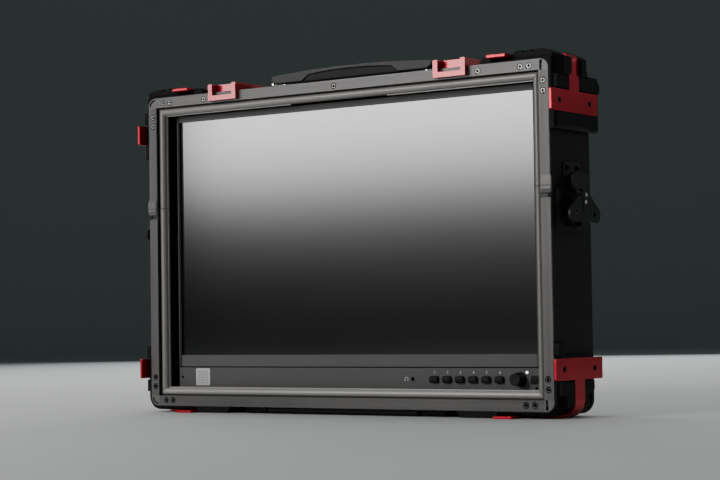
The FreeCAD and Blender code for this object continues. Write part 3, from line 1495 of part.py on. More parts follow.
def make_control_panel():
    """Folded control panel with its holes, and the board behind it."""
    z0 = BOTTOM + MON_BOTTOM
    z1 = BOTTOM + BEZEL_SEAM - SEAM_GAP
    channel = box(-MON_HALF_W, MON_HALF_W, MON_FRONT, MON_BACK, z0, z1)
    hollow = box(-MON_HALF_W + SHEET_T, MON_HALF_W - SHEET_T, MON_FRONT + SHEET_T, MON_BACK + 1,
                 z0 + SHEET_T, z1 - SHEET_T)
    y0 = MON_FRONT - 1
    y1 = MON_FRONT + SHEET_T + 1
    holes = [plate_xz(button_outline(x, BUTTON_W, BUTTON_CLEAR), y0, y1) for x in button_centres()]
    holes.append(plate_xz(button_outline(POWER_X, POWER_W, BUTTON_CLEAR), y0, y1))
    for x, z, radius in ((KNOB_X, KNOB_Z, ENCODER_BUSH_R), (JACK_X, JACK_Z, JACK_R), (LED_X, LED_Z, LED_R)):
        holes.append(rod(radius + SEAT_CLEAR, Vector(x, y0, BOTTOM + z), Vector(x, y1, BOTTOM + z)))
    panel = joined([channel.cut(hollow)] + board_bosses())
    save("control_panel", [panel.cut(holes + panel_screws(SCREW_CLEAR))])
    save("panel_screws", panel_screws())
    board = box(BOARD_FROM_X, MON_HALF_W - SHEET_T - SEAT_CLEAR, BOARD_FRONT, BOARD_FRONT + BOARD_T,
                z0 + SHEET_T + SEAT_CLEAR, z1 - SHEET_T - SEAT_CLEAR)
    half = SWITCH_W / 2
    z = BOTTOM + CONTROL_Z
    switches = [box(x - half, x + half, switch_face(), BOARD_FRONT, z - half, z + half)
                for x in button_centres() + [POWER_X]]
    jack_half = JACK_BODY_W / 2 + SEAT_CLEAR
    jack_z = BOTTOM + JACK_Z
    relief = box(JACK_X - jack_half, JACK_X + jack_half, BOARD_FRONT - 1, BOARD_FRONT + BOARD_T + 1,
                 jack_z - jack_half, jack_z + jack_half)
    save("control_board", [joined([board] + switches).cut([relief] + panel_screws(SCREW_CLEAR))])


def main_boss_places():
    """Corners of the main board, where its bosses stand, as (x, z)."""
    x = MAIN_HALF_W - MAIN_BOSS_EDGE
    low = BOTTOM + MAIN_BOTTOM + MAIN_BOSS_EDGE
    high = BOTTOM + MAIN_BOTTOM + MAIN_H - MAIN_BOSS_EDGE
    return [(side * x, z) for side in (-1, 1) for z in (low, high)]


def vesa_places():
    """Mounting holes in the rear cover as (x, z)."""
    half = VESA / 2
    return [(x, BOTTOM + VESA_Z + z) for x in (-half, half) for z in (-half, half)]


def io_outline(grow):
    """Outline of the connector plate or of its seat."""
    return round_rect(-IO_HALF_W - grow, IO_HALF_W + grow, BOTTOM + IO_BOTTOM - grow,
                      BOTTOM + IO_BOTTOM + IO_H + grow, IO_R + grow)


def make_rear_cover():
    """Rear cover: flange behind the bezel, a deep box, vents, bosses and mounting holes."""
    z0 = BOTTOM + COVER_BOTTOM
    z1 = BOTTOM + COVER_TOP
    flange_back = MON_BACK + SHEET_T
    inner_back = COVER_BACK - SHEET_T
    flange = box(-MON_HALF_W, MON_HALF_W, MON_BACK, flange_back, BOTTOM + MON_BOTTOM,
                 BOTTOM + MON_TOP - COVER_FLANGE_DROP)
    body = plate_xz(round_rect(-COVER_HALF_W, COVER_HALF_W, z0, z1, COVER_EDGE_R), flange_back, COVER_BACK)
    body = body.makeChamfer(COVER_EDGE_R / 2, edges_where(body, lambda p: close_to(p.y, COVER_BACK)))
    hollow = box(-COVER_HALF_W + SHEET_T, COVER_HALF_W - SHEET_T, MON_BACK - 1, inner_back,
                 z0 + SHEET_T, z1 - SHEET_T)
    shell = joined([flange, body]).cut(hollow)
    bosses = [rod(MAIN_BOSS_R, Vector(x, inner_back - MAIN_BOSS_L, z), Vector(x, inner_back, z))
              for x, z in main_boss_places()]
    bosses += [rod(VESA_BOSS_R, Vector(x, COVER_BACK - VESA_BOSS_L, z), Vector(x, COVER_BACK, z))
               for x, z in vesa_places()]
    cuts = [rod(VESA_R, Vector(x, COVER_BACK - VESA_BOSS_L - 1, z), Vector(x, COVER_BACK + 1, z))
            for x, z in vesa_places()]
    vent_z = BOTTOM + VESA_Z - VENT_PITCH * (VENT_COUNT - 1) / 2
    for side in (-1, 1):
        for row in range(VENT_COUNT):
            z = vent_z + row * VENT_PITCH
            slot = round_rect(side * VENT_X - VENT_L / 2, side * VENT_X + VENT_L / 2,
                              z - VENT_H / 2, z + VENT_H / 2, VENT_H / 2 - 0.1)
            cuts.append(plate_xz(slot, inner_back - 1, COVER_BACK + 1))
    for x in hdmi_centres():
        cuts.append(hdmi_block(x, SEAT_CLEAR))
    cuts.append(rod(DC_R + SEAT_CLEAR, dc_point(inner_back - DC_CAVITY), dc_point(COVER_BACK + 1)))
    for x in bnc_centres():
        cuts.append(rod(BNC_R + SEAT_CLEAR, io_point(x, inner_back - 1), io_point(x, COVER_BACK + 1)))
    save("rear_cover", [joined([shell] + bosses).cut(cuts)])


def make_main_board():
    """Main board on its bosses, with a finned heat sink and two chips."""
    back = COVER_BACK - SHEET_T - MAIN_BOSS_L
    front = back - BOARD_T
    z0 = BOTTOM + MAIN_BOTTOM
    board = box(-MAIN_HALF_W, MAIN_HALF_W, front, back, z0, z0 + MAIN_H)
    z = z0 + MAIN_H / 2
    half = CHIP_W / 2
    solids = [board, box(-half, half, front - CHIP_T, front, z - half, z + half)]
    for side in (-1, 1):
        x = side * CHIP_W * 2
        solids.append(box(x - half, x + half, front - CHIP_T, front, z - half, z + half))
    pitch = CHIP_W / (SINK_FINS - 1)
    for fin in range(SINK_FINS):
        x = -half + fin * (pitch - SINK_FIN_T / SINK_FINS)
        solids.append(box(x, x + SINK_FIN_T, front - CHIP_T - SINK_FIN_H, front - CHIP_T,
                          z - half, z + half))
    save("main_board", [joined(solids)])


def make_brackets():
    """Four folded brackets that hang the monitor in the lower shell."""
    brackets = []
    y0 = MON_BACK + SHEET_T + BRACKET_FROM
    for height in BRACKET_Z:
        z0 = BOTTOM + height - BRACKET_H / 2
        z1 = BOTTOM + height + BRACKET_H / 2
        bracket = joined([
            box(COVER_HALF_W, COVER_HALF_W + BRACKET_T, y0, y0 + BRACKET_FOOT, z0, z1),
            box(COVER_HALF_W, INNER_W, y0, y0 + BRACKET_T, z0, z1),
            box(INNER_W - BRACKET_T, INNER_W, y0, y0 + BRACKET_FOOT, z0, z1),
        ])
        brackets += pair(bracket)
    save("monitor_brackets", brackets)


# Rear connectors

def io_point(x, y):
    """Point at the middle height of the connector plate."""
    return Vector(x, y, BOTTOM + IO_BOTTOM + IO_H / 2)


def dc_point(y):
    """Point on the power inlet's axis."""
    return io_point(DC_X, y)


def bnc_centres():
    """Round video sockets along the plate."""
    return [BNC_X + step * BNC_PITCH for step in range(BNC_COUNT)]


def hdmi_centres():
    """Flat video sockets along the plate."""
    return [HDMI_X + step * HDMI_PITCH for step in range(HDMI_COUNT)]


def hdmi_block(x, grow):
    """Outer block of a flat socket, or its hole when it grows."""
    z = BOTTOM + IO_BOTTOM + IO_H / 2
    return box(x - HDMI_W / 2 - grow, x + HDMI_W / 2 + grow, COVER_BACK + IO_T - HDMI_DEPTH - grow,
               COVER_BACK + IO_T + HDMI_PROUD + grow, z - HDMI_H / 2 - grow, z + HDMI_H / 2 + grow)


def bnc_socket(x):
    """Bayonet socket: nut, barrel with two lugs and a centre pin."""
    face = COVER_BACK + IO_T
    end = face + BNC_L
    section = [(0, 0), (0, BNC_NUT_R), (BNC_NUT_T, BNC_NUT_R), (BNC_NUT_T, 0)]
    nut = turned_bar(section, io_point(x, face), Y_AXIS)
    barrel = rod(BNC_R, io_point(x, COVER_BACK - SHEET_T), io_point(x, end))
    bore = rod(BNC_BORE_R, io_point(x, face), io_point(x, end + 1))
    pin = rod(BNC_PIN_R, io_point(x, face - 1), io_point(x, end - 1))
    lug_y = end - BNC_NUT_T
    lugs = [rod(BNC_LUG_R, io_point(x, lug_y) + Z_AXIS * side * BNC_BORE_R,
                io_point(x, lug_y) + Z_AXIS * side * (BNC_R + BNC_LUG_L)) for side in (-1, 1)]
    body = joined([nut, barrel] + lugs).cut(bore)
    return joined([body, pin])


def hdmi_socket(x):
    """Flat socket: thin shell with its tongue."""
    z = BOTTOM + IO_BOTTOM + IO_H / 2
    back = COVER_BACK + IO_T + HDMI_PROUD
    front = COVER_BACK + IO_T - HDMI_DEPTH
    hollow = box(x - HDMI_W / 2 + HDMI_WALL, x + HDMI_W / 2 - HDMI_WALL, front + HDMI_WALL, back + 1,
                 z - HDMI_H / 2 + HDMI_WALL, z + HDMI_H / 2 - HDMI_WALL)
    tongue = box(x - HDMI_TONGUE_W / 2, x + HDMI_TONGUE_W / 2, front, back - HDMI_PROUD,
                 z - HDMI_TONGUE_T / 2, z + HDMI_TONGUE_T / 2)
    return joined([hdmi_block(x, 0).cut(hollow), tongue])


def dc_inlet():
    """Power inlet: square flange, round shell and four pins."""
    face = COVER_BACK + IO_T
    z = BOTTOM + IO_BOTTOM + IO_H / 2
    flange = plate_xz(round_rect(DC_X - DC_FLANGE_W / 2, DC_X + DC_FLANGE_W / 2, z - DC_FLANGE_H / 2,
                                 z + DC_FLANGE_H / 2, IO_R), face, face + DC_FLANGE_T)
    floor = face + DC_PROUD - DC_CAVITY
    shell = rod(DC_R, dc_point(floor - DC_WALL), dc_point(face + DC_PROUD))
    hollow = rod(DC_R - DC_WALL, dc_point(floor), dc_point(face + DC_PROUD + 1))
    body = joined([flange, shell]).cut(hollow)
    pins = []
    for step in range(DC_PIN_COUNT):
        angle = math.pi / 4 + step * 2 * math.pi / DC_PIN_COUNT
        offset = Vector(math.cos(angle), 0, math.sin(angle)) * DC_PIN_CIRCLE
        pins.append(rod(DC_PIN_R, dc_point(floor) + offset, dc_point(face + DC_PROUD - DC_WALL) + offset))
    return joined([body] + pins)


def make_connectors():
    """Connector plate with its sockets."""
    face = COVER_BACK + IO_T
    plate = plate_xz(io_outline(0), COVER_BACK, face)
    cuts = [hdmi_block(x, SEAT_CLEAR) for x in hdmi_centres()]
    cuts += [rod(BNC_R + SEAT_CLEAR, io_point(x, COVER_BACK - 1), io_point(x, face + 1))
             for x in bnc_centres()]
    cuts.append(rod(DC_R + SEAT_CLEAR, dc_point(COVER_BACK - 1), dc_point(face + 1)))
    save("connector_plate", [plate.cut(cuts)])
    save("bnc_sockets", [bnc_socket(x) for x in bnc_centres()])
    save("hdmi_sockets", [hdmi_socket(x) for x in hdmi_centres()])
    save("dc_inlet", [dc_inlet()])


# Fasteners of the case

def make_case_screws():
    """Face, strap and latch screws, grouped by the half of the case that holds them."""
    upper_points, lower_points = frame_screw_points()
    straps = strap_screws()
    base, keeper = latch_screw_sets()
    upper = frame_screws(upper_points)
    lower = frame_screws(lower_points)
    for screw in straps:
        upper += pair(screw)
        lower += pair(to_bottom(screw))
    for screw in keeper:
        upper += pair(screw)
    for screw in base:
        lower += pair(screw)
    save("case_screws_upper", upper)
    save("case_screws_lower", lower)


def main():
    """Build every node."""
    os.makedirs(OUT_DIR, exist_ok=True)
    make_rails()
    make_corner_caps()
    make_corner_keys()
    make_end_caps()
    make_shells()
    make_tongue()
    make_skid()
    make_guards()
    make_straps()
    make_latches()
    save("lid_brackets", pair(lid_bracket()))
    make_handle()
    make_bezel()
    make_buttons()
    make_knob()
    make_jack()
    make_control_panel()
    make_rear_cover()
    make_main_board()
    make_brackets()
    make_connectors()
    make_case_screws()


main()
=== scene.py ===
"""Looks of a field director monitor that is built into a two-part flight case."""

import logging
import math
from dataclasses import dataclass, field
from enum import Enum
from typing import Any, Callable, Dict, List, Optional, Protocol, Sequence, Tuple, Union

import bmesh
import bpy
import numpy as np
from mathutils import Matrix, Vector


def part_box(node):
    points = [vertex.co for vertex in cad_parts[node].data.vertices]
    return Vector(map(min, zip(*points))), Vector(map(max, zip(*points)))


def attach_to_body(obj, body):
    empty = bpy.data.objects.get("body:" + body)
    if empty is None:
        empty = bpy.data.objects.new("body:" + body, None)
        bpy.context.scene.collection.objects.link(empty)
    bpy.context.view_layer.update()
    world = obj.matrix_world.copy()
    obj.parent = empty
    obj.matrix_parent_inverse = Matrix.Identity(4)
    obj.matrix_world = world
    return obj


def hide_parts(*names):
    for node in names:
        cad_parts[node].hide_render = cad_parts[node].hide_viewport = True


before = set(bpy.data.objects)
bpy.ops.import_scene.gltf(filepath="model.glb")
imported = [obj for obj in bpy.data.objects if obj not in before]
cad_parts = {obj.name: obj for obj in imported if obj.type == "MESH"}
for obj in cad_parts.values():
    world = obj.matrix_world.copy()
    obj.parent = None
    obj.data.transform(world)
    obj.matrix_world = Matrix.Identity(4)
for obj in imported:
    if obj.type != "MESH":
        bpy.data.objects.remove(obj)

LOG = logging.getLogger("monitor_case")

MM = 0.001
FRAME_HALF = 296.5 * MM
FRAME_TOP = 403.0 * MM
FRAME_FOOT = 8.0 * MM
LATCH_Y = 1.4 * MM
BOTH_SIDES = (-1.0, 1.0)
WHOLE_TURN = 2.0 * np.pi
QUARTER_TURN = np.pi / 2.0
SHARP_FROM = math.radians(38.0)
SAME_POINT = 1e-7

Pair = Tuple[float, float]
Triple = Tuple[float, float, float]
Colour = Triple
Array = np.ndarray
Surface = Tuple[Array, Array]
Object = bpy.types.Object
Material = bpy.types.Material

BLACK: Colour = (0.0, 0.0, 0.0)


class Along(Enum):
    """Direction in which an extrusion was drawn, as the stretch of its die lines."""

    ACROSS = (0.02, 1.0, 1.0)
    UPRIGHT = (1.0, 1.0, 0.02)


class Drive(Enum):
    """Recess in a screw's head."""

    CROSS = "cross"
    SOCKET = "socket"


class Side(Enum):
    """Side of the case, as the sign of X."""

    LEFT = -1
    RIGHT = 1


class Facing(Enum):
    """Way that a surface's z points, as the vectors that its x, y and z turn into."""

    FRONT = ((1.0, 0.0, 0.0), (0.0, 0.0, 1.0), (0.0, -1.0, 0.0))
    BACK = ((-1.0, 0.0, 0.0), (0.0, 0.0, 1.0), (0.0, 1.0, 0.0))
    RIGHT = ((0.0, 1.0, 0.0), (0.0, 0.0, 1.0), (1.0, 0.0, 0.0))
    LEFT = ((0.0, -1.0, 0.0), (0.0, 0.0, 1.0), (-1.0, 0.0, 0.0))
    UP = ((1.0, 0.0, 0.0), (0.0, 1.0, 0.0), (0.0, 0.0, 1.0))
    DOWN = ((1.0, 0.0, 0.0), (0.0, -1.0, 0.0), (0.0, 0.0, -1.0))


# Shader arithmetic


def maths(operation: str, swapped: bool = False) -> Callable[..., "Signal"]:
    """Make the method of a signal that stands for one kind of Math node.

    Args:
        operation: the Math node's operation.
        swapped: whether the other value comes first.

    Returns:
        The method.
    """
    def apply(self: "Signal", other: "Feed" = 0.0) -> "Signal":
        """Feed the signal and another value to a new Math node."""
        first, second = (other, self) if swapped else (self, other)
        return self.recipe.node("ShaderNodeMath", {"operation": operation}, {0: first, 1: second})

    return apply


class Signal:
    """One output of a shader node, with arithmetic on values."""

    def __init__(self, recipe: "Recipe", socket: bpy.types.NodeSocket) -> None:
        """Keep the socket and the recipe that owns it."""
        self.recipe = recipe
        self.socket = socket

    __add__ = maths("ADD")
    __radd__ = maths("ADD", True)
    __sub__ = maths("SUBTRACT")
    __rsub__ = maths("SUBTRACT", True)
    __mul__ = maths("MULTIPLY")
    __truediv__ = maths("DIVIDE")
    __pow__ = maths("POWER")
    __abs__ = maths("ABSOLUTE")
    fraction = maths("FRACT")
    least = maths("MINIMUM")
    most = maths("MAXIMUM")

    def between(self, low: float, high: float) -> "Signal":
        """Smooth step that is 0 below low and 1 above high."""
        return self.recipe.node("ShaderNodeMapRange", {"interpolation_type": "SMOOTHSTEP"},
                                {"Value": self, "From Min": low, "From Max": high})

    def within(self, low: float, high: float, soft: float) -> "Signal":
        """Band that is 1 from low to high, with flanks of the soft width outside."""
        return self.between(low - soft, low) * (1.0 - self.between(high, high + soft))


Feed = Union[Signal, float, int, Sequence[float]]
Sockets = Dict[Union[str, int], Optional[Feed]]


class Recipe:
    """A material whose nodes are being laid out."""

    def __init__(self, name: str) -> None:
        """Start an empty node tree.

        Args:
            name: the material's name.
        """
        self.material = bpy.data.materials.new(name)
        self.material.use_nodes = True
        self.tree = self.material.node_tree
        self.tree.nodes.clear()

    def node(self, kind: str, settings: Optional[Dict[str, Any]] = None,
             sockets: Optional[Sockets] = None, output: Union[str, int] = 0) -> Signal:
        """Add one node.

        Args:
            kind: the node's type.
            settings: its properties, set first.
            sockets: values or links of its inputs; None leaves an input as it is.
            output: which output is wanted.

        Returns:
            That output.
        """
        item = self.tree.nodes.new(kind)
        for key, value in (settings or {}).items():
            setattr(item, key, value)
        for key, value in (sockets or {}).items():
            socket = item.inputs[key]
            if isinstance(value, Signal):
                self.tree.links.new(value.socket, socket)
            elif value is None:
                continue
            elif socket.type == "RGBA" and len(value) == 3:
                socket.default_value = (*value, 1.0)
            else:
                socket.default_value = value
        return Signal(self, item.outputs[output])

    def place(self, stretch: Triple = (1.0, 1.0, 1.0), shift: Triple = (0.0, 0.0, 0.0)) -> Signal:
        """Object coordinates in metres, stretched and then shifted."""
        raw = self.node("ShaderNodeTexCoord", output="Object")
        return self.node("ShaderNodeMapping", {},
                         {"Vector": raw, "Scale": stretch, "Location": shift})

    def axis(self, index: int, where: Optional[Signal] = None) -> Signal:
        """One coordinate of a vector, the object's own by default."""
        return self.node("ShaderNodeSeparateXYZ", {}, {0: where or self.place()}, index)

    def noise(self, scale: float, detail: float, where: Optional[Signal] = None,
              roughness: float = 0.5) -> Signal:
        """Smooth noise from 0 to 1: cells in a metre, octaves, coordinates, octaves' weight."""
        return self.node("ShaderNodeTexNoise", {}, {
            "Vector": where or self.place(), "Scale": scale, "Detail": detail,
            "Roughness": roughness})

    def cells(self, scale: float, distance: str = "EUCLIDEAN") -> Signal:
        """Distance to the nearest seed of a pattern with so many cells in a metre."""
        return self.node("ShaderNodeTexVoronoi", {"distance": distance},
                         {"Vector": self.place(), "Scale": scale})

    def blend(self, share: Feed, first: Feed, second: Feed) -> Signal:
        """Mix of two colours: the first at a share of 0, the second at 1."""
        return self.node("ShaderNodeMix", {"data_type": "RGBA"},
                         {0: share, 6: first, 7: second}, 2)

    def vary(self, share: Feed, tint: Colour, low: float, high: float) -> Signal:
        """Colour that goes from low times a tint to high times it."""
        return self.blend(share, tuple(low * c for c in tint), tuple(high * c for c in tint))

    def levels(self, share: Feed, stops: Sequence[Pair]) -> Signal:
        """Ramp of greys.

        Args:
            share: where on the ramp.
            stops: (place, level) pairs, two or more.

        Returns:
            The grey.
        """
        made = self.node("ShaderNodeValToRGB", {}, {"Fac": share})
        elements = made.socket.node.color_ramp.elements
        while len(elements) < len(stops):
            elements.new(1.0)
        for element, (place, level) in zip(elements, stops):
            element.position = place
            element.color = (level, level, level, 1.0)
        return made

    def rounded(self, radius: float) -> Signal:
        """Normal of the surface with its sharp edges eased by a radius."""
        return self.node("ShaderNodeBevel", {"samples": 4}, {"Radius": radius})

    def edges(self, radius: float) -> Signal:
        """Mask of sharp edges: how far the eased normal turns from the flat one.

        Args:
            radius: reach of the mask from an edge.

        Returns:
            0 on flats, rising to 1 at an edge.
        """
        flat = self.node("ShaderNodeNewGeometry", output="True Normal")
        turn = self.node("ShaderNodeVectorMath", {"operation": "DOT_PRODUCT"},
                         {0: self.rounded(radius), 1: flat}, "Value")
        return (1.0 - turn).between(0.02, 0.3)

    def bump(self, height: Feed, depth: float, strength: float,
             over: Optional[Signal] = None) -> Signal:
        """Normal tilted by a relief of a depth in metres, over another normal if one is given."""
        return self.node("ShaderNodeBump", {}, {
            "Height": height, "Distance": depth, "Strength": strength, "Normal": over})

    def close(self, shader: Signal) -> Material:
        """Link a shader to the material's output.

        Args:
            shader: the shader.

        Returns:
            The finished material.
        """
        item = self.tree.nodes.new("ShaderNodeOutputMaterial")
        self.tree.links.new(shader.socket, item.inputs["Surface"])
        return self.material

    def surface(self, sockets: Sockets) -> Material:
        """Finished material with one Principled shader of these sockets."""
        return self.close(self.node("ShaderNodeBsdfPrincipled", {}, sockets))


# Finishes


class Finish(Protocol):
    """What every finish offers."""

    name: str

    def make(self) -> Material:
        """The finish as a material."""


@dataclass(frozen=True)
class DrawnAluminium:
    """Gunmetal anodised extrusion with die lines along its length and an inner bead whose paler
    tone also carries painted light.
    """

    name: str
    along: Along
    tint: Colour
    bead: Colour = (0.33, 0.312, 0.292)
    bare: Colour = (0.40, 0.38, 0.365)
    glint: Colour = (1.0, 0.96, 0.93)
    shadow: Colour = (0.014, 0.014, 0.015)
    face_width: float = 13.0 * MM
    bead_from: float = 13.8 * MM
    lip_from: float = 22.6 * MM
    lip_flank: float = 0.2 * MM
    groove_flank: float = 0.6 * MM
    notch: Pair = (246.8 * MM, 252.1 * MM)
    notch_flank: float = 0.05 * MM

    def inward(self, r: Recipe) -> Signal:
        """Distance of a point from the frame's nearest outer edge.

        Args:
            r: the recipe.

        Returns:
            The distance in metres.
        """
        place = r.place()
        up = r.axis(2, place)
        beside = FRAME_HALF - abs(r.axis(0, place))
        return beside.least((FRAME_TOP - up).least(up - FRAME_FOOT))

    def make(self) -> Material:
        """Die lines are noise that is stretched fifty times along the bar.

        Edges show brighter metal. The bead and the lip start at their distances from the frame's
        outer edge; the lip carries a painted highlight. Painted shade darkens the groove beside the
        bead and the notch under the end caps.

        Returns:
            The material.
        """
        r = Recipe(self.name)
        run = r.place(self.along.value)
        fine = r.noise(1700.0, 2.0, run)
        broad = r.noise(240.0, 3.0, run)
        cloud = r.noise(9.0, 3.0)
        scuff = r.noise(70.0, 5.0, r.place((1.0, 1.0, 0.35)), 0.65).between(0.62, 0.76)
        worn = r.edges(0.7 * MM) * r.noise(160.0, 3.0).between(0.35, 0.7)
        inward = self.inward(r)
        past_face = inward.between(self.face_width, self.bead_from)
        face = r.blend(past_face, self.tint, self.bead)
        base = r.blend(broad * 0.35 + cloud * 0.3, r.blend(0.14, face, BLACK),
                       r.blend(0.22, face, self.glint))
        base = r.blend(worn * 0.6 + scuff * 0.12, base, self.bare)
        # Painted shade: the groove beside the bead and the notch under the end caps are darkened
        # towards the shadow colour.
        groove_shade = inward.within(self.face_width, self.bead_from, self.groove_flank)
        notch = r.axis(2).within(*self.notch, self.notch_flank) * (1.0 - past_face)
        base = r.blend(groove_shade.most(notch) * 0.93, base, self.shadow)
        # Painted highlight: the lip is lightened towards the bare-metal colour as if lit.
        lip_painted_light = inward.between(self.lip_from, self.lip_from + self.lip_flank)
        return r.surface({
            "Base Color": r.blend(lip_painted_light * 0.7, base, self.bare),
            "Metallic": 0.15,
            "Roughness": 0.31 + fine * 0.08 + cloud * 0.08 + scuff * 0.08,
            "Specular IOR Level": 0.3,
            "Normal": r.bump(fine * 0.7 + broad * 0.3, 0.04 * MM, 0.5, r.rounded(0.5 * MM)),
        })


@dataclass(frozen=True)
class AnodisedPlate:
    """Bead-blasted plate in a dyed anodised colour."""

    name: str
    tint: Colour
    coat: float
    pale: Colour = (0.75, 0.2, 0.22)

    def make(self) -> Material:
        """Fine blast grain, a slow drift of the dye, and paler metal along rubbed edges.

        Returns:
            The material.
        """
        r = Recipe(self.name)
        grain = r.noise(2600.0, 2.0)
        drift = r.noise(26.0, 3.0)
        rub = r.edges(0.8 * MM) * r.noise(240.0, 3.0).between(0.25, 0.75)
        return r.surface({
            "Base Color": r.blend(rub * 0.55, r.vary(drift, self.tint, 0.8, 1.15), self.pale),
            "Metallic": 0.72,
            "Roughness": 0.25 + grain * 0.08 + drift * 0.08,
            "Normal": r.bump(grain, 0.05 * MM, 0.45, r.rounded(0.6 * MM)),
            "Specular IOR Level": 0.2,
            "Coat Weight": self.coat,
            "Coat Roughness": 0.16,
        })


@dataclass(frozen=True)
class PebbledLaminate:
    """Hard black laminate of the case panels, with a pebbled face."""

    name: str
    tint: Colour = (0.0105, 0.0105, 0.011)
    dust: Colour = (0.07, 0.068, 0.066)

    def make(self) -> Material:
        """Pebbles are cells about 1.3 mm wide with paler crowns; scuffs and rubbed edges are paler.

        Returns:
            The material.
        """
        r = Recipe(self.name)
        pebble = r.cells(760.0)
        grain = r.noise(1900.0, 2.0)
        patch = r.noise(11.0, 4.0)
        scuff = r.noise(30.0, 6.0, r.place((0.5, 1.0, 2.4)), 0.7).between(0.6, 0.74)
        rub = r.edges(1.2 * MM) * r.noise(120.0, 3.0).between(0.3, 0.75)
        crown = 1.0 - pebble.between(0.12, 0.5)
        base = r.blend(crown * 0.12, r.vary(patch, self.tint, 0.7, 1.4), self.dust)
        return r.surface({
            "Base Color": r.blend(rub * 0.5 + scuff * 0.1, base, self.dust),
            "Roughness": 0.5 + grain * 0.1 + patch * 0.12 + scuff * 0.08,
            "Specular IOR Level": 0.16,
            "Normal": r.bump(grain * 0.2 - pebble * 0.8, 0.3 * MM, 0.8, r.rounded(0.8 * MM)),
        })


@dataclass(frozen=True)
class MouldedElastomer:
    """Tough rubber with a spark-eroded mould grain."""

    name: str
    tint: Colour = (0.0055, 0.0055, 0.0058)
    bloom: Colour = (0.045, 0.044, 0.043)
    grain_scale: float = 1300.0
    rough: float = 0.48
    shine: float = 0.1

    def make(self) -> Material:
        """Fine mould grain, faint bloom in patches and rubbed edges.

        Returns:
            The material.
        """
        r = Recipe(self.name)
        grain = r.noise(self.grain_scale, 3.0, roughness=0.6)
        patch = r.noise(24.0, 4.0)
        rub = r.edges(1.2 * MM) * r.noise(200.0, 4.0).between(0.3, 0.7)
        base = r.vary(patch * 0.6 + grain * 0.4, self.tint, 0.6, 1.7)
        pale = rub * 0.45 + patch.between(0.55, 0.8) * 0.06
        return r.surface({
            "Base Color": r.blend(pale, base, self.bloom),
            "Roughness": self.rough - 0.04 + grain * 0.12 + patch * 0.1,
            "Specular IOR Level": self.shine,
            "Normal": r.bump(grain, 0.22 * MM, 0.75, r.rounded(1.0 * MM)),
        })


@dataclass(frozen=True)
class PowderCoat:
    """Baked powder coat with a fine orange peel."""

    name: str
    tint: Colour
    bare: Colour
    peel: float
    rough: float
    wear: float

    def tone(self, r: Recipe, base: Signal) -> Signal:
        """The coat's colour, which a special coat may change from place to place."""
        return base

    def make(self) -> Material:
        """Orange peel is noise one or two millimetres wide, under a fine fleck and chipped edges.

        Returns:
            The material.
        """
        r = Recipe(self.name)
        peel = r.noise(self.peel, 1.0)
        fleck = r.noise(3200.0, 1.0)
        drift = r.noise(14.0, 4.0)
        chip = r.edges(0.6 * MM) * r.noise(300.0, 4.0).between(0.5, 0.72)
        base = r.vary(drift * 0.6 + fleck * 0.4, self.tint, 0.82, 1.2)
        return r.surface({
            "Base Color": self.tone(r, r.blend(chip * self.wear, base, self.bare)),
            "Roughness": self.rough - 0.05 + drift * 0.1 + peel * 0.06,
            "Specular IOR Level": 0.25,
            "Normal": r.bump(peel * 0.7 + fleck * 0.3, 0.14 * MM, 0.65, r.rounded(0.5 * MM)),
        })


@dataclass(frozen=True)
class WindowCoat(PowderCoat):
    """Powder coat of the bezel, with painted shade along the upright sides of its window."""

    shadow: Colour = (0.006, 0.006, 0.006)
    band: Pair = (263.3 * MM, 266.1 * MM)
    flank: float = 0.1 * MM

    def tone(self, r: Recipe, base: Signal) -> Signal:
        """Paint shade onto the strip beside the window."""
        beside = abs(r.axis(0)).within(*self.band, self.flank)
        return r.blend(beside * 0.95, base, self.shadow)


@dataclass(frozen=True)
class PlatedMetal:
    """Plated or turned metal."""

    name: str
    tint: Colour
    rough: float
    tarnish: float = 0.25

    def make(self) -> Material:
        """Turning marks are fine noise; tarnish darkens it in patches.

        Returns:
            The material.
        """
        r = Recipe(self.name)
        marks = r.noise(4200.0, 2.0)
        stain = r.noise(180.0, 4.0).between(0.5, 0.78) * self.tarnish
        return r.surface({
            "Base Color": r.vary(stain, self.tint, 1.0, 0.4),
            "Metallic": 1.0,
            "Roughness": self.rough + marks * 0.08 + stain * 0.4,
            "Normal": r.bump(marks, 0.03 * MM, 0.4, r.rounded(0.3 * MM)),
        })


@dataclass(frozen=True)
class DisplayGlass:
    """Dark display face with an etched anti-glare coat."""

    name: str
    tint: Colour = (0.0035, 0.0035, 0.004)
    rough: float = 0.09

    def make(self) -> Material:
        """Etched sparkle in the roughness, faint wipe marks, and a slight drift of the black.

        Returns:
            The material.
        """
        r = Recipe(self.name)
        etch = r.noise(2400.0, 1.0)
        wipe = r.noise(10.0, 4.0, r.place((0.4, 1.0, 1.7)), 0.6)
        return r.surface({
            "Base Color": r.vary(wipe, self.tint, 0.8, 1.5),
            "Roughness": self.rough + etch * 0.02 + wipe * 0.02,
            "Specular IOR Level": 1.0,
            "Normal": r.bump(etch, 0.002 * MM, 0.1),
        })


@dataclass(frozen=True)
class CircuitBoard:
    """Green solder mask over copper tracks."""

    name: str
    mask: Colour = (0.012, 0.1, 0.04)
    track: Colour = (0.03, 0.2, 0.075)
    deep: Colour = (0.005, 0.05, 0.02)

    def make(self) -> Material:
        """Tracks are the walls of a square cell pattern, raised a little under the mask.

        Returns:
            The material.
        """
        r = Recipe(self.name)
        lines = r.cells(160.0, "CHEBYCHEV").within(0.36, 0.44, 0.06)
        fleck = r.noise(900.0, 2.0)
        return r.surface({
            "Base Color": r.blend(fleck * 0.25, r.blend(lines, self.mask, self.track), self.deep),
            "Roughness": 0.28 + fleck * 0.15,
            "Normal": r.bump(lines, 0.05 * MM, 0.5),
        })


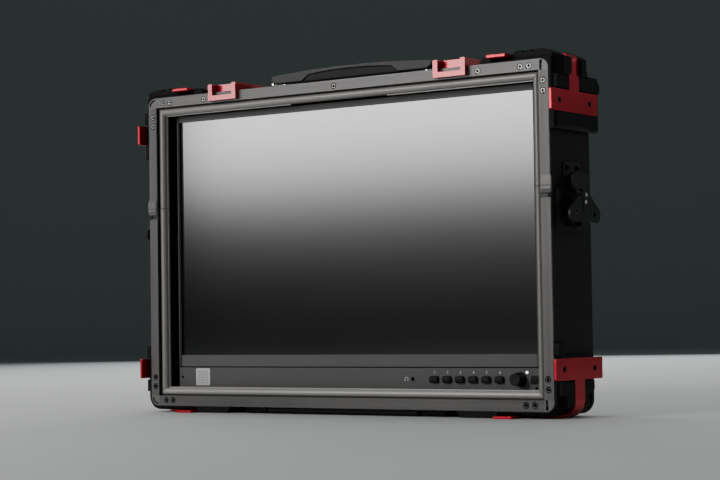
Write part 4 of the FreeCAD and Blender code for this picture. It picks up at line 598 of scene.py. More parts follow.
@dataclass(frozen=True)
class PrintedInk:
    """Screen-printed white marks."""

    name: str
    tint: Colour = (0.78, 0.78, 0.77)

    def make(self) -> Material:
        """Ink that is a little thin in places.

        Returns:
            The material.
        """
        r = Recipe(self.name)
        thin = r.noise(2200.0, 3.0)
        return r.surface({
            "Base Color": r.vary(thin, self.tint, 0.8, 1.0),
            "Roughness": 0.55 + thin * 0.2,
            "Normal": r.bump(thin, 0.02 * MM, 0.4),
        })


@dataclass(frozen=True)
class DottedLabel:
    """Glossy white label with an even grid of grey dots inside a plain border."""

    name: str
    centre: Triple
    half: float = 9.0 * MM
    pitch: float = 2.0 * MM
    flank: float = 0.2 * MM
    paper: Colour = (0.86, 0.86, 0.85)
    ink: Colour = (0.11, 0.11, 0.115)

    def make(self) -> Material:
        """Dots repeat at one pitch in X and Z and stop inside the border.

        Returns:
            The material.
        """
        r = Recipe(self.name)
        local = r.place(shift=tuple(-c for c in self.centre))
        along, up = r.axis(0, local), r.axis(2, local)
        off_x, off_z = (((v / self.pitch).fraction() - 0.5) ** 2.0 for v in (along, up))
        dot = 1.0 - (off_x + off_z).between(0.075, 0.115)
        inside = 1.0 - abs(along).most(abs(up)).between(self.half - self.flank, self.half)
        fibre = r.noise(1500.0, 3.0)
        paper = r.vary(fibre, self.paper, 0.93, 1.0)
        return r.surface({
            "Base Color": r.blend(dot * inside, paper, self.ink),
            "Roughness": 0.32 + fibre * 0.15,
            "Normal": r.bump(fibre, 0.02 * MM, 0.4),
        })


@dataclass(frozen=True)
class LightPipe:
    """Clear pipe that is lit from behind."""

    name: str
    glow: Colour = (1.0, 0.98, 0.95)
    dim: Colour = (0.8, 0.82, 0.85)
    power: float = 3.5

    def make(self) -> Material:
        """The light is a little uneven over the end of the pipe.

        Returns:
            The material.
        """
        r = Recipe(self.name)
        haze = r.noise(1800.0, 2.0)
        return r.surface({
            "Base Color": r.vary(haze, (1.0, 1.0, 1.0), 0.8, 0.95),
            "Roughness": 0.25 + haze * 0.1,
            "Emission Color": r.blend(haze * 0.3, self.glow, self.dim),
            "Emission Strength": self.power,
        })


@dataclass(frozen=True)
class StudioPaper:
    """Pale floor that the case stands on, running into a grey wall."""

    name: str
    tint: Colour = (0.66, 0.67, 0.665)
    wall: Colour = (0.2, 0.23, 0.227)
    pale_reach: float = 0.9
    grey_reach: float = 3.4

    def make(self) -> Material:
        """Matte paper with a soft mottle, greyer away from the middle.

        Returns:
            The material.
        """
        r = Recipe(self.name)
        mottle = r.noise(6.0, 4.0)
        fibre = r.noise(420.0, 3.0)
        away = r.node("ShaderNodeVectorMath", {"operation": "LENGTH"},
                      {0: r.place((1.0, 1.0, 0.0))}, "Value")
        pale = r.vary(mottle * 0.6 + fibre * 0.4, self.tint, 0.94, 1.0)
        greyer = away.between(self.pale_reach, self.grey_reach)
        return r.surface({
            "Base Color": r.blend(greyer, pale, self.wall),
            "Roughness": 0.8 + fibre * 0.1,
            "Normal": r.bump(fibre, 0.2 * MM, 0.3),
        })


@dataclass(frozen=True)
class SoftboxGlow:
    """Front of a tall softbox that fades towards its lower edge and its far side."""

    name: str
    near_x: float
    far_x: float
    power: float
    rise: Tuple[Pair, ...]

    def make(self) -> Material:
        """Light rises with height through a few levels and falls off at the far side.

        Returns:
            The material.
        """
        r = Recipe(self.name)
        place = r.place()
        rise = r.levels(r.axis(2, place), self.rise)
        fade = r.axis(0, place).between(self.far_x, self.near_x)
        return r.close(r.node("ShaderNodeEmission", {}, {
            "Color": r.blend(fade, BLACK, rise), "Strength": self.power}))


@dataclass
class Palette:
    """All finishes of the object, made once and looked up by name."""

    made: Dict[str, Material] = field(default_factory=dict)

    def keep(self, *finishes: Finish) -> None:
        """Make finishes and hold them by their names."""
        self.made.update({finish.name: finish.make() for finish in finishes})

    def mix(self) -> None:
        """Make the finishes that are shared."""
        self.keep(
            # Lit and shaded copies of one extrusion: the face tint is painted darker from the top
            # rail to the uprights and the bottom rail, and each bead's brightness is painted to
            # suit the light on that rail.
            DrawnAluminium("rail_top", Along.ACROSS, (0.11, 0.1035, 0.101),
                           (0.37, 0.349, 0.326)),
            DrawnAluminium("rail_upright", Along.UPRIGHT, (0.052, 0.049, 0.048),
                           (0.235, 0.222, 0.207)),
            DrawnAluminium("rail_bottom", Along.ACROSS, (0.046, 0.0434, 0.0425),
                           (0.5, 0.472, 0.44)),
            DrawnAluminium("rail_cap", Along.UPRIGHT, (0.11, 0.104, 0.1015)),
            AnodisedPlate("strap_red", (0.5, 0.01, 0.029), 0.16),
            AnodisedPlate("bracket_red", (0.4, 0.009, 0.026), 0.75),
            PebbledLaminate("case_black"),
            MouldedElastomer("guard_black"),
            # Near-black finish that paints shade into screw recesses and the shadow ring round
            # screw heads.
            MouldedElastomer("seat_black", (0.002, 0.002, 0.002), (0.006, 0.006, 0.006),
                             2600.0, 0.8, 0.0),
            MouldedElastomer("grip_black", (0.05, 0.049, 0.05), (0.09, 0.088, 0.088), 1700.0, 0.5),
            MouldedElastomer("key_black", (0.02, 0.02, 0.021), (0.06, 0.06, 0.06), 2600.0, 0.42),
            PowderCoat("latch_black", (0.014, 0.014, 0.015), (0.28, 0.28, 0.28), 700.0, 0.4, 0.5),
            PowderCoat("handle_grey", (0.105, 0.102, 0.103), (0.2, 0.2, 0.2), 900.0, 0.5, 0.25),
            WindowCoat("bezel_grey", (0.13, 0.127, 0.13), (0.24, 0.24, 0.24), 800.0, 0.5, 0.2),
            PowderCoat("panel_grey", (0.12, 0.116, 0.118), (0.24, 0.24, 0.24), 800.0, 0.5, 0.2),
            PowderCoat("cover_black", (0.018, 0.018, 0.0185), (0.2, 0.2, 0.2), 520.0, 0.5, 0.3),
            PowderCoat("sleeve_white", (0.66, 0.64, 0.6), (0.7, 0.7, 0.7), 1500.0, 0.42, 0.1),
            PlatedMetal("screw_steel", (0.7, 0.68, 0.65), 0.24),
            PlatedMetal("screw_bright", (0.88, 0.86, 0.83), 0.32, 0.04),
            PlatedMetal("screw_black", (0.03, 0.03, 0.032), 0.36, 0.1),
            PlatedMetal("screw_dark", (0.17, 0.168, 0.17), 0.32, 0.2),
            PlatedMetal("bracket_steel", (0.5, 0.5, 0.51), 0.36, 0.4),
            PlatedMetal("chrome", (0.82, 0.82, 0.83), 0.07, 0.06),
            PlatedMetal("bush_brass", (0.62, 0.44, 0.19), 0.26, 0.4),
            DisplayGlass("screen_black"),
            CircuitBoard("board_green"),
            PrintedInk("legend_white"),
            LightPipe("light_white"),
        )

    def __getitem__(self, name: str) -> Material:
        """Finish by its name."""
        return self.made[name]

    def cover(self, finish: str, *nodes: str) -> None:
        """Give CAD nodes a finish.

        Args:
            finish: the finish's name.
            nodes: names of the CAD nodes.
        """
        for name in nodes:
            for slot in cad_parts[name].material_slots:
                slot.material = self.made[finish]


# Surfaces


def grid_faces(rows: int, columns: int, wrap: bool = True) -> Array:
    """Quads of a grid whose points are numbered row by row.

    Each quad joins a point, its right neighbour, and the two below them; the last column joins
    the first when the grid wraps.

    Args:
        rows: rows of points.
        columns: points in a row.
        wrap: whether a row is closed.

    Returns:
        One row of four indices for each quad.
    """
    down, along = np.meshgrid(np.arange(rows - 1), np.arange(columns if wrap else columns - 1),
                              indexing="ij")
    right = (along + 1) % columns
    here, below = down * columns, (down + 1) * columns
    corners = (here + along, here + right, below + right, below + along)
    return np.stack(corners, axis=-1).reshape(-1, 4)


def closed_grid(points: Array) -> Surface:
    """Surface of a grid of points whose rows are closed."""
    return points.reshape(-1, 3), grid_faces(*points.shape[:2])


def lifted(plan: Array, height: Array) -> Array:
    """Points of a flat grid with their heights, which go by row or by column."""
    return np.dstack([plan, np.broadcast_to(height, plan.shape[:2])])


def superellipse(count: int, power: float) -> Array:
    """Loop of (cos t, sin t), with the size of each raised to a power and its sign kept."""
    turn = np.linspace(0.0, WHOLE_TURN, count, endpoint=False)
    loop = np.stack([np.cos(turn), np.sin(turn)], axis=-1)
    return np.sign(loop) * np.abs(loop) ** power


def spots(surface: Surface, places: Sequence[Triple], facing: Facing) -> Surface:
    """Copies of a surface that all face one way.

    A copy's point is its place plus the surface's x, y and z times the three vectors of facing.

    Args:
        surface: one copy, with z outwards.
        places: where the copies stand.
        facing: the way that they face.

    Returns:
        Points and faces of the copies.
    """
    points, faces = surface
    where = np.array(places, dtype=float)
    moved = where[:, None, :] + (points @ np.array(facing.value))[None]
    shifted = faces[None] + (np.arange(len(where)) * len(points))[:, None, None]
    return moved.reshape(-1, 3), shifted.reshape(-1, 4)


def together(surfaces: Sequence[Surface]) -> Surface:
    """One surface from several, with the faces renumbered.

    Args:
        surfaces: the surfaces.

    Returns:
        Points and faces of all of them.
    """
    starts = np.cumsum([0] + [len(points) for points, _ in surfaces[:-1]])
    faces = [faces + start for (_, faces), start in zip(surfaces, starts)]
    return np.concatenate([points for points, _ in surfaces]), np.concatenate(faces)


def stand(name: str, data: Optional[bpy.types.ID]) -> Object:
    """Put an object with this name and data into the scene.

    Args:
        name: the object's name.
        data: its mesh, curve, light or camera.

    Returns:
        The object, at the origin.
    """
    made = bpy.data.objects.new(name, data)
    bpy.context.scene.collection.objects.link(made)
    return made


def piece(name: str, surface: Surface, finishes: Sequence[Material],
          marks: Optional[Array] = None) -> Object:
    """Object from a closed surface, with its poles merged and its faces outwards.

    Args:
        name: the object's name.
        surface: points and faces.
        finishes: its materials.
        marks: index of the material of each face, all first by default.

    Returns:
        The object, at the origin.
    """
    points, faces = surface
    mesh = bpy.data.meshes.new(name)
    mesh.from_pydata(points.tolist(), [], faces.tolist())
    for finish in finishes:
        mesh.materials.append(finish)
    if marks is not None:
        mesh.polygons.foreach_set("material_index", marks.astype(np.int32))
    mesh.polygons.foreach_set("use_smooth", np.ones(len(mesh.polygons), dtype=bool))
    work = bmesh.new()
    work.from_mesh(mesh)
    bmesh.ops.remove_doubles(work, verts=work.verts, dist=SAME_POINT)
    bmesh.ops.recalc_face_normals(work, faces=work.faces)
    work.to_mesh(mesh)
    work.free()
    mesh.set_sharp_from_angle(angle=SHARP_FROM)
    return stand(name, mesh)


@dataclass(frozen=True)
class ScrewHead:
    """Screw head whose driver recess and the thin ring round it are painted with shade."""

    radius: float
    dome: float
    depth: float
    drive: Drive
    skirt: float
    seat: float
    seat_rise: float = 0.03 * MM
    columns: int = 48
    cross_long: float = 0.78
    cross_wide: float = 0.38
    socket_wide: float = 0.5
    wall_run: float = 0.09
    dark_from: float = 0.3

    def room(self, x: Array, y: Array) -> Array:
        """How far a point lies inside the recess, negative outside.

        A cross is two crossed bars and a socket is a hexagon.

        Args:
            x: first coordinate across the head.
            y: second coordinate across the head.

        Returns:
            The distance inside.
        """
        if self.drive is Drive.CROSS:
            long, wide = self.cross_long * self.radius, self.cross_wide * self.radius
            one = np.minimum(long - np.abs(x), wide - np.abs(y))
            two = np.minimum(wide - np.abs(x), long - np.abs(y))
            return np.maximum(one, two)
        turn = np.arange(3) * np.pi / 3.0
        reach = np.abs(x[..., None] * np.cos(turn) + y[..., None] * np.sin(turn)).max(axis=-1)
        return self.socket_wide * self.radius - reach

    def form(self) -> Tuple[Surface, Array]:
        """Head on a polar grid, closed underneath.

        Height at (rho, theta) is dome times (1 - (rho / radius) squared), less depth inside the
        recess, whose walls slope over a short run. A flat ring round the rim is a painted shadow
        line.

        Returns:
            Points and faces with z outwards, and whether each face carries painted shade.
        """
        rho = np.concatenate([np.linspace(0.0, 0.82, 17), [0.88, 0.94, 0.985, 1.0]]) * self.radius
        theta = np.linspace(0.0, WHOLE_TURN, self.columns, endpoint=False)
        far, turn = np.meshgrid(rho, theta, indexing="ij")
        x, y = far * np.cos(turn), far * np.sin(turn)
        sunk = np.clip(self.room(x, y) / (self.wall_run * self.radius) + 0.5, 0.0, 1.0)
        height = self.dome * (1.0 - (far / self.radius) ** 2) - self.depth * sunk
        ring = np.stack([np.cos(theta), np.sin(theta)], axis=-1)
        # Painted shadow: a flat dark ring a hair above the surface round the rim stands in for the
        # countersink's shade.
        rim = self.radius + self.seat
        reach = np.array([self.radius, rim, rim, 0.0])
        level = np.array([self.seat_rise, self.seat_rise, -self.skirt, -self.skirt])
        rings = lifted(ring[None] * reach[:, None, None], level[:, None])
        points, faces = closed_grid(np.concatenate([np.dstack([x, y, height]), rings]))
        top = faces[:(len(rho) - 1) * self.columns]
        # Painted shade: faces deep in the recess, and the ring, take the dark finish.
        painted_shade = np.ones(len(faces), dtype=bool)
        painted_shade[:len(top)] = sunk.ravel()[top].mean(axis=1) > self.dark_from
        return (points, faces), painted_shade

    def row(self, places: Sequence[Triple], facing: Facing, plain: int = 0,
            painted_shade: int = 1) -> Tuple[Surface, Array]:
        """Equal heads that face one way.

        Args:
            places: where the heads stand.
            facing: the way that they face.
            plain: index of the head's finish.
            painted_shade: index of the finish that paints shade into its recess and onto the ring
                round it.

        Returns:
            Points and faces, and the index of the finish of each face.
        """
        surface, sunk = self.form()
        return spots(surface, places, facing), np.tile(np.where(sunk, painted_shade, plain), len(places))


def pillow_surface(half: Pair, proud: float, sunk: float, ease: float, dome: float,
                   square: float) -> Surface:
    """Key cap: a superellipse in plan with a crowned face and eased edges, closed behind.

    A plan point at angle t is (half width times |cos t| to 2/square, half height times |sin t| to
    2/square). Rows run from the middle of the face out, round a quarter circle and down the side.

    Args:
        half: half width and half height.
        proud: height of the face's edge.
        sunk: depth of the foot.
        ease: radius of the edge.
        dome: crown of the face.
        square: power of the superellipse.

    Returns:
        Points and faces, with z outwards.
    """
    plan = superellipse(64, 2.0 / square) * np.array(half)
    inner = 1.0 - ease / min(half)
    face = np.linspace(0.0, inner, 9)
    bend = np.linspace(0.0, QUARTER_TURN, 6)[1:]
    share = np.concatenate([face, inner + (1.0 - inner) * np.sin(bend), [1.0, 0.0]])
    height = np.concatenate([proud + dome * (1.0 - (face / inner) ** 2),
                             proud - ease * (1.0 - np.cos(bend)), [-sunk, -sunk]])
    return closed_grid(lifted(plan[None] * share[:, None, None], height[:, None]))


def turned_surface(along: Array, radius: Array, columns: int, flutes: int = 0,
                   flute_depth: Array = np.zeros(1)) -> Surface:
    """Turned form with or without flutes, closed at both ends where the radius is 0 there.

    Radius at (row, theta) is the profile's, less the row's flute depth times the square of
    max(0, cos(flutes times theta)).

    Args:
        along: height of each row of the profile.
        radius: radius of each row.
        columns: points in a row.
        flutes: number of flutes.
        flute_depth: depth of the flutes in each row.

    Returns:
        Points and faces, with z along the axis.
    """
    theta = np.linspace(0.0, WHOLE_TURN, columns, endpoint=False)
    wave = np.maximum(0.0, np.cos(flutes * theta)) ** 2
    reach = radius[:, None] - flute_depth[:, None] * wave[None, :]
    plan = np.dstack([reach * np.cos(theta), reach * np.sin(theta)])
    return closed_grid(lifted(plan, along[:, None]))


def ribbon_surface(path: Array, width: float, thick: float) -> Surface:
    """Flat band along a path in the XY plane, closed at its ends.

    Each path point carries a rectangle: half the width to either side along the path's normal,
    and the thickness in z. The first and last rectangles are shrunk to a point to close the band.

    Args:
        path: points as rows of x and y.
        width: width of the band.
        thick: height of the band.

    Returns:
        Points and faces, with z outwards.
    """
    slope = np.gradient(path, axis=0)
    normal = np.stack([-slope[:, 1], slope[:, 0]], axis=-1)
    normal = normal / np.linalg.norm(slope, axis=1)[:, None]
    across = np.array([0.5, 0.5, -0.5, -0.5]) * width
    flat = path[:, None, :] + normal[:, None, :] * across[None, :, None]
    points = lifted(flat, np.array([0.0, thick, thick, 0.0]))
    ends = np.broadcast_to(points[[0, -1]].mean(axis=1, keepdims=True), (2, 4, 3))
    return closed_grid(np.concatenate([ends[:1], points, ends[1:]]))


# Sub-assemblies


def attach(made: Object, body: str, slot: str, *nodes: str) -> Object:
    """Let a piece ride on a body and stand for CAD nodes.

    Args:
        made: the piece.
        body: the body that it rides on.
        slot: the record's material slot; not used.
        nodes: the CAD nodes that it stands for, if any.

    Returns:
        The piece.
    """
    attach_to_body(made, body)
    if nodes:
        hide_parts(*nodes)
    return made


@dataclass
class SubAssembly:
    """A group of CAD nodes and the pieces that are added to them."""

    palette: Palette

    def add(self, name: str, surface: Surface, finishes: Sequence[str], body: str, slot: str,
            *nodes: str, marks: Optional[Array] = None) -> Object:
        """Make a piece that rides on a body.

        Args:
            name: the piece's name.
            surface: its points and faces.
            finishes: names of its finishes.
            body: the body that it rides on.
            slot: the record's material slot; not used.
            nodes: the CAD nodes that it stands for, if any.
            marks: index of the finish of each face, all first by default.

        Returns:
            The piece.
        """
        materials = [self.palette[finish] for finish in finishes]
        return attach(piece(name, surface, materials, marks), body, slot, *nodes)

    def build(self) -> List[Object]:
        """Pieces beyond the solids, none unless the group adds them."""
        return []

    def dress(self) -> None:
        """Finishes of the solids, none where pieces replace them all."""


@dataclass
class FrontFrame(SubAssembly):
    """Grey extruded frame round the monitor, with its caps."""

    upright: Tuple[str, ...] = ("upper_side_rails", "lower_side_rails")
    caps: Tuple[str, ...] = ("corner_caps_upper", "corner_caps_lower",
                             "rail_end_caps_upper", "rail_end_caps_lower")
    keys: Tuple[str, ...] = ("corner_keys_upper", "corner_keys_lower")

    def dress(self) -> None:
        """Drawn metal follows each rail's length."""
        # Each rail takes its own lit or shaded copy of the extrusion finish, with painted shade and
        # painted light in its colour.
        self.palette.cover("rail_top", "top_rail")
        self.palette.cover("rail_bottom", "bottom_rail")
        self.palette.cover("rail_upright", *self.upright)
        self.palette.cover("rail_cap", *self.caps)
        self.palette.cover("bracket_steel", *self.keys)


@dataclass
class CaseShells(SubAssembly):
    """Black shells of the case, their tongue and the skid with its end pads."""

    pad_half: Pair = (18.6 * MM, 38.5 * MM)
    pad_depth: float = 7.2 * MM
    pad_ease: float = 2.2 * MM
    pad_square: float = 14.0
    overlap: float = 0.2 * MM

    def build(self) -> List[Object]:
        """Rubber pads under the shell, one against each end of the skid.

        Returns:
            The piece.
        """
        low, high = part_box("base_skid")
        shape = pillow_surface(self.pad_half, self.pad_depth, self.overlap, self.pad_ease, 0.0,
                               self.pad_square)
        reach = high.x + self.pad_half[0] - self.overlap
        places = [(side * reach, (low.y + high.y) / 2.0, high.z) for side in BOTH_SIDES]
        return [self.add("skid_pads", spots(shape, places, Facing.DOWN), ["guard_black"],
                         "lower_case", "guard_black")]

    def dress(self) -> None:
        """Laminate on the panels, coated metal on the tongue, rubber under the case."""
        self.palette.cover("case_black", "lower_shell", "upper_shell")
        self.palette.cover("cover_black", "closure_tongue")
        self.palette.cover("guard_black", "base_skid")


@dataclass
class CornerArmour(SubAssembly):
    """Rubber corner guards, the red straps over them and the red brackets on top."""

    def dress(self) -> None:
        """Rubber guards, red plates."""
        self.palette.cover("guard_black", "corner_guards_top", "corner_guards_bottom")
        self.palette.cover("strap_red", "corner_straps_top", "corner_straps_bottom")
        self.palette.cover("bracket_red", "lid_brackets")


@dataclass
class CaseScrews(SubAssembly):
    """Screw heads of the frame, the straps and the latches, in metres."""

    front: float = -45.6 * MM
    inset: float = 7.2 * MM
    from_corner: Pair = (24.7 * MM, 36.2 * MM)
    top_single: float = 204.2 * MM
    strap_face: float = 306.1 * MM
    strap_y: Pair = (-37.9 * MM, 31.4 * MM)
    strap_drop: float = 47.2 * MM
    strap_bar_x: float = 234.8 * MM
    strap_rise: float = 8.0 * MM
    latch_face: float = 299.5 * MM
    joint: float = 260.4 * MM
    base_half: float = 22.0 * MM
    base_drop: float = 34.3 * MM
    keeper_half: float = 11.3 * MM
    keeper_rise: float = 21.6 * MM
    frame_head: ScrewHead = ScrewHead(radius=2.5 * MM, dome=0.12 * MM, depth=0.95 * MM,
                                      drive=Drive.CROSS, skirt=0.4 * MM, seat=1.3 * MM)
    strap_head: ScrewHead = ScrewHead(radius=3.6 * MM, dome=0.1 * MM, depth=1.1 * MM,
                                      drive=Drive.SOCKET, skirt=0.4 * MM, seat=0.1 * MM)
    latch_head: ScrewHead = ScrewHead(radius=2.8 * MM, dome=0.5 * MM, depth=0.9 * MM,
                                      drive=Drive.CROSS, skirt=1.4 * MM, seat=0.05 * MM)
    finishes: Tuple[str, ...] = ("screw_bright", "screw_dark", "screw_black", "seat_black")

    def frame_places(self, upper: bool) -> List[Triple]:
        """Places of the front face screws of one half of the frame.

        Args:
            upper: whether they sit on the upper case.

        Returns:
            One point for each screw.
        """
        edge, inwards = (FRAME_TOP, -1.0) if upper else (FRAME_FOOT, 1.0)
        level = edge + inwards * self.inset
        places = [(0.0, self.front, level)] if upper else []
        for side in BOTH_SIDES:
            if upper:
                places.append((side * self.top_single, self.front, level))
            for run in self.from_corner:
                places.append((side * (FRAME_HALF - run), self.front, level))
                places.append((side * (FRAME_HALF - self.inset), self.front, edge + inwards * run))
        return places

    def rows(self, upper: bool) -> List[Tuple[Surface, Array]]:
        """Rows of one half's heads.

        Args:
            upper: whether they sit on the upper case.

        Returns:
            For each row its surface and the index of the finish of each face.
        """
        bright, grey, black, painted_shade = range(len(self.finishes))
        edge, inwards = (FRAME_TOP, -1.0) if upper else (FRAME_FOOT, 1.0)
        strap_z = edge + inwards * self.strap_drop
        bars = [(side * self.strap_bar_x, y, edge - inwards * self.strap_rise)
                for side in BOTH_SIDES for y in self.strap_y]
        half = self.keeper_half if upper else self.base_half
        latch_z = self.joint + (self.keeper_rise if upper else -self.base_drop)
        made = [self.frame_head.row(self.frame_places(upper), Facing.FRONT,
                                    bright if upper else grey, painted_shade),
                self.strap_head.row(bars, Facing.UP if upper else Facing.DOWN, black, painted_shade)]
        for side in (Side.RIGHT, Side.LEFT):
            sign, facing = float(side.value), Facing[side.name]
            straps = [(sign * self.strap_face, y, strap_z) for y in self.strap_y]
            latch = [(sign * self.latch_face, LATCH_Y + step * half, latch_z)
                     for step in BOTH_SIDES]
            made.append(self.strap_head.row(straps, facing, black, painted_shade))
            made.append(self.latch_head.row(latch, facing, black if upper else grey, painted_shade))
        return made

    def build(self) -> List[Object]:
        """Heads of the upper and the lower case, one piece each.

        Returns:
            The two pieces.
        """
        made = []
        for upper, node, body in ((True, "case_screws_upper", "upper_case"),
                                  (False, "case_screws_lower", "lower_case")):
            rows = self.rows(upper)
            marks = np.concatenate([shades for _, shades in rows])
            heads = together([surface for surface, _ in rows])
            made.append(self.add(node + "_heads", heads, self.finishes, body, "screw_steel", node,
                                 marks=marks))
        return made


@dataclass
class CarryHandle(SubAssembly):
    """Pull-up handle: grey frame, ribbed grip, plated posts and their bushes."""

    half_top: float = 61.8 * MM
    half_low: float = 72.8 * MM
    low: float = 6.4 * MM
    end_high: float = 15.2 * MM
    crown: float = 18.1 * MM
    square: float = 9.0
    end_share: float = 0.02
    end_ease: float = 0.06
    ribs: int = 13
    rib_depth: float = 0.55 * MM
    rib_reach: float = 0.93
    pin_in: float = 2.4 * MM
    pin_proud: float = 0.8 * MM
    pin_rise: float = 6.9 * MM
    pin_radius: float = 2.0 * MM
    pin_length: float = 13.0 * MM
    pin_nose: float = 0.3

    def grip_surface(self) -> Surface:
        """Grip lofted from end to end.

        A section at s from -1 to 1 is a superellipse of power 9 in y and in the height share v.
        Its top rises as crown times (1 - s squared) above the end height, its foot is level, and
        x is s times the half length at that height. Ribs are cosine grooves across the underside.

        Returns:
            Points and faces.
        """
        near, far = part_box("handle_grip")
        s = np.concatenate([[-1.0], np.linspace(-1.0, 1.0, 157), [1.0]])
        section = superellipse(72, 2.0 / self.square)
        across, level = section[:, 0], 0.5 + 0.5 * section[:, 1]
        from_end = np.clip((1.0 - np.abs(s)) / self.end_share, 0.0, 1.0)
        size = 1.0 - self.end_ease * (1.0 - np.sqrt(1.0 - (1.0 - from_end) ** 2))
        size[[0, -1]] = 0.0
        head = self.end_high + (self.crown - self.end_high) * (1.0 - s ** 2)
        groove_shade = np.maximum(0.0, np.cos(np.pi * self.ribs * s)) ** 6 * (np.abs(s) < self.rib_reach)
        under = np.clip(1.0 - 3.0 * level, 0.0, 1.0)
        share = 0.5 + (level[None, :] - 0.5) * size[:, None]
        height = self.low + (head - self.low)[:, None] * share
        height = height + self.rib_depth * groove_shade[:, None] * under[None, :]
        reach = self.half_low + (self.half_top - self.half_low) * share
        depth = 0.5 * (far.y - near.y) * across[None, :] * size[:, None]
        return closed_grid(np.dstack([s[:, None] * reach, 0.5 * (near.y + far.y) + depth,
                                      FRAME_TOP + height]))

    def pin_surface(self) -> Surface:
        """Cross pin under the handle's left tip: a round rod with a quarter circle at its nose.

        Returns:
            Points and faces.
        """
        near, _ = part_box("handle_frame")
        ease = np.linspace(0.0, QUARTER_TURN, 5)
        tip = self.pin_radius * (1.0 - self.pin_nose + self.pin_nose * np.sin(ease))
        nose = self.pin_nose * self.pin_radius * (1.0 - np.cos(ease))
        along = np.concatenate([[0.0], -nose, [-self.pin_length, -self.pin_length]])
        reach = np.concatenate([[0.0], tip, [self.pin_radius, 0.0]])
        place = (near.x + self.pin_in, near.y - self.pin_proud, FRAME_TOP + self.pin_rise)
        return spots(turned_surface(along, reach, 40), [place], Facing.FRONT)

    def build(self) -> List[Object]:
        """The moulded grip and the pin.

        Returns:
            The pieces.
        """
        grip = self.add("handle_grip_moulding", self.grip_surface(), ["grip_black"], "handle",
                        "grip_black", "handle_grip")
        pin = self.add("handle_pin", self.pin_surface(), ["chrome"], "handle", "chrome")
        return [grip, pin]

    def dress(self) -> None:
        """Grey frame, plated posts, brass bushes."""
        self.palette.cover("handle_grey", "handle_frame")
        self.palette.cover("chrome", "handle_posts")
        self.palette.cover("bush_brass", "handle_bushes")


@dataclass
class ButterflyLatch(SubAssembly):
    """One side's latch, with the rivets of its cam."""

    side: Side
    face: float = 315.3 * MM
    rivets: Tuple[Pair, ...] = ((1.6 * MM, 250.6 * MM), (0.2 * MM, 242.4 * MM))
    rivet_radius: float = 2.2 * MM
    rivet_rise: float = 1.1 * MM
    rivet_foot: float = 0.2 * MM

    def word(self) -> str:
        """The side's word in node names."""
        return self.side.name.lower()

    def rivet_surface(self) -> Surface:
        """Round rivet head: radius times sin a, rise times cos a, from the crown to the rim.

        Returns:
            Points and faces, with z outwards.
        """
        a = np.linspace(0.0, QUARTER_TURN, 9)
        along = np.concatenate([self.rivet_rise * np.cos(a), [-self.rivet_foot, -self.rivet_foot]])
        radius = np.concatenate([self.rivet_radius * np.sin(a), [self.rivet_radius, 0.0]])
        return turned_surface(along, radius, 40)

    def build(self) -> List[Object]:
        """Rivets on the cam's tongue.

        Returns:
            The piece.
        """
        places = [(self.side.value * self.face, LATCH_Y + y, z) for y, z in self.rivets]
        shape = spots(self.rivet_surface(), places, Facing[self.side.name])
        return [self.add("latch_rivets_" + self.word(), shape, ["screw_steel"],
                         "latch_cam_" + self.word(), "screw_steel")]

    def dress(self) -> None:
        """Coated steel on every link."""
        links = ["latch_%s_%s" % (link, self.word()) for link in ("cam", "key", "slider", "hook")]
        self.palette.cover("latch_black", "latch_bases", "latch_keepers", *links)


@dataclass
class Display(SubAssembly):
    """Bezel and display panel."""

    def dress(self) -> None:
        """Powder-coated bezel round the dark display."""
        self.palette.cover("bezel_grey", "monitor_bezel")
        self.palette.cover("screen_black", "lcd_panel")


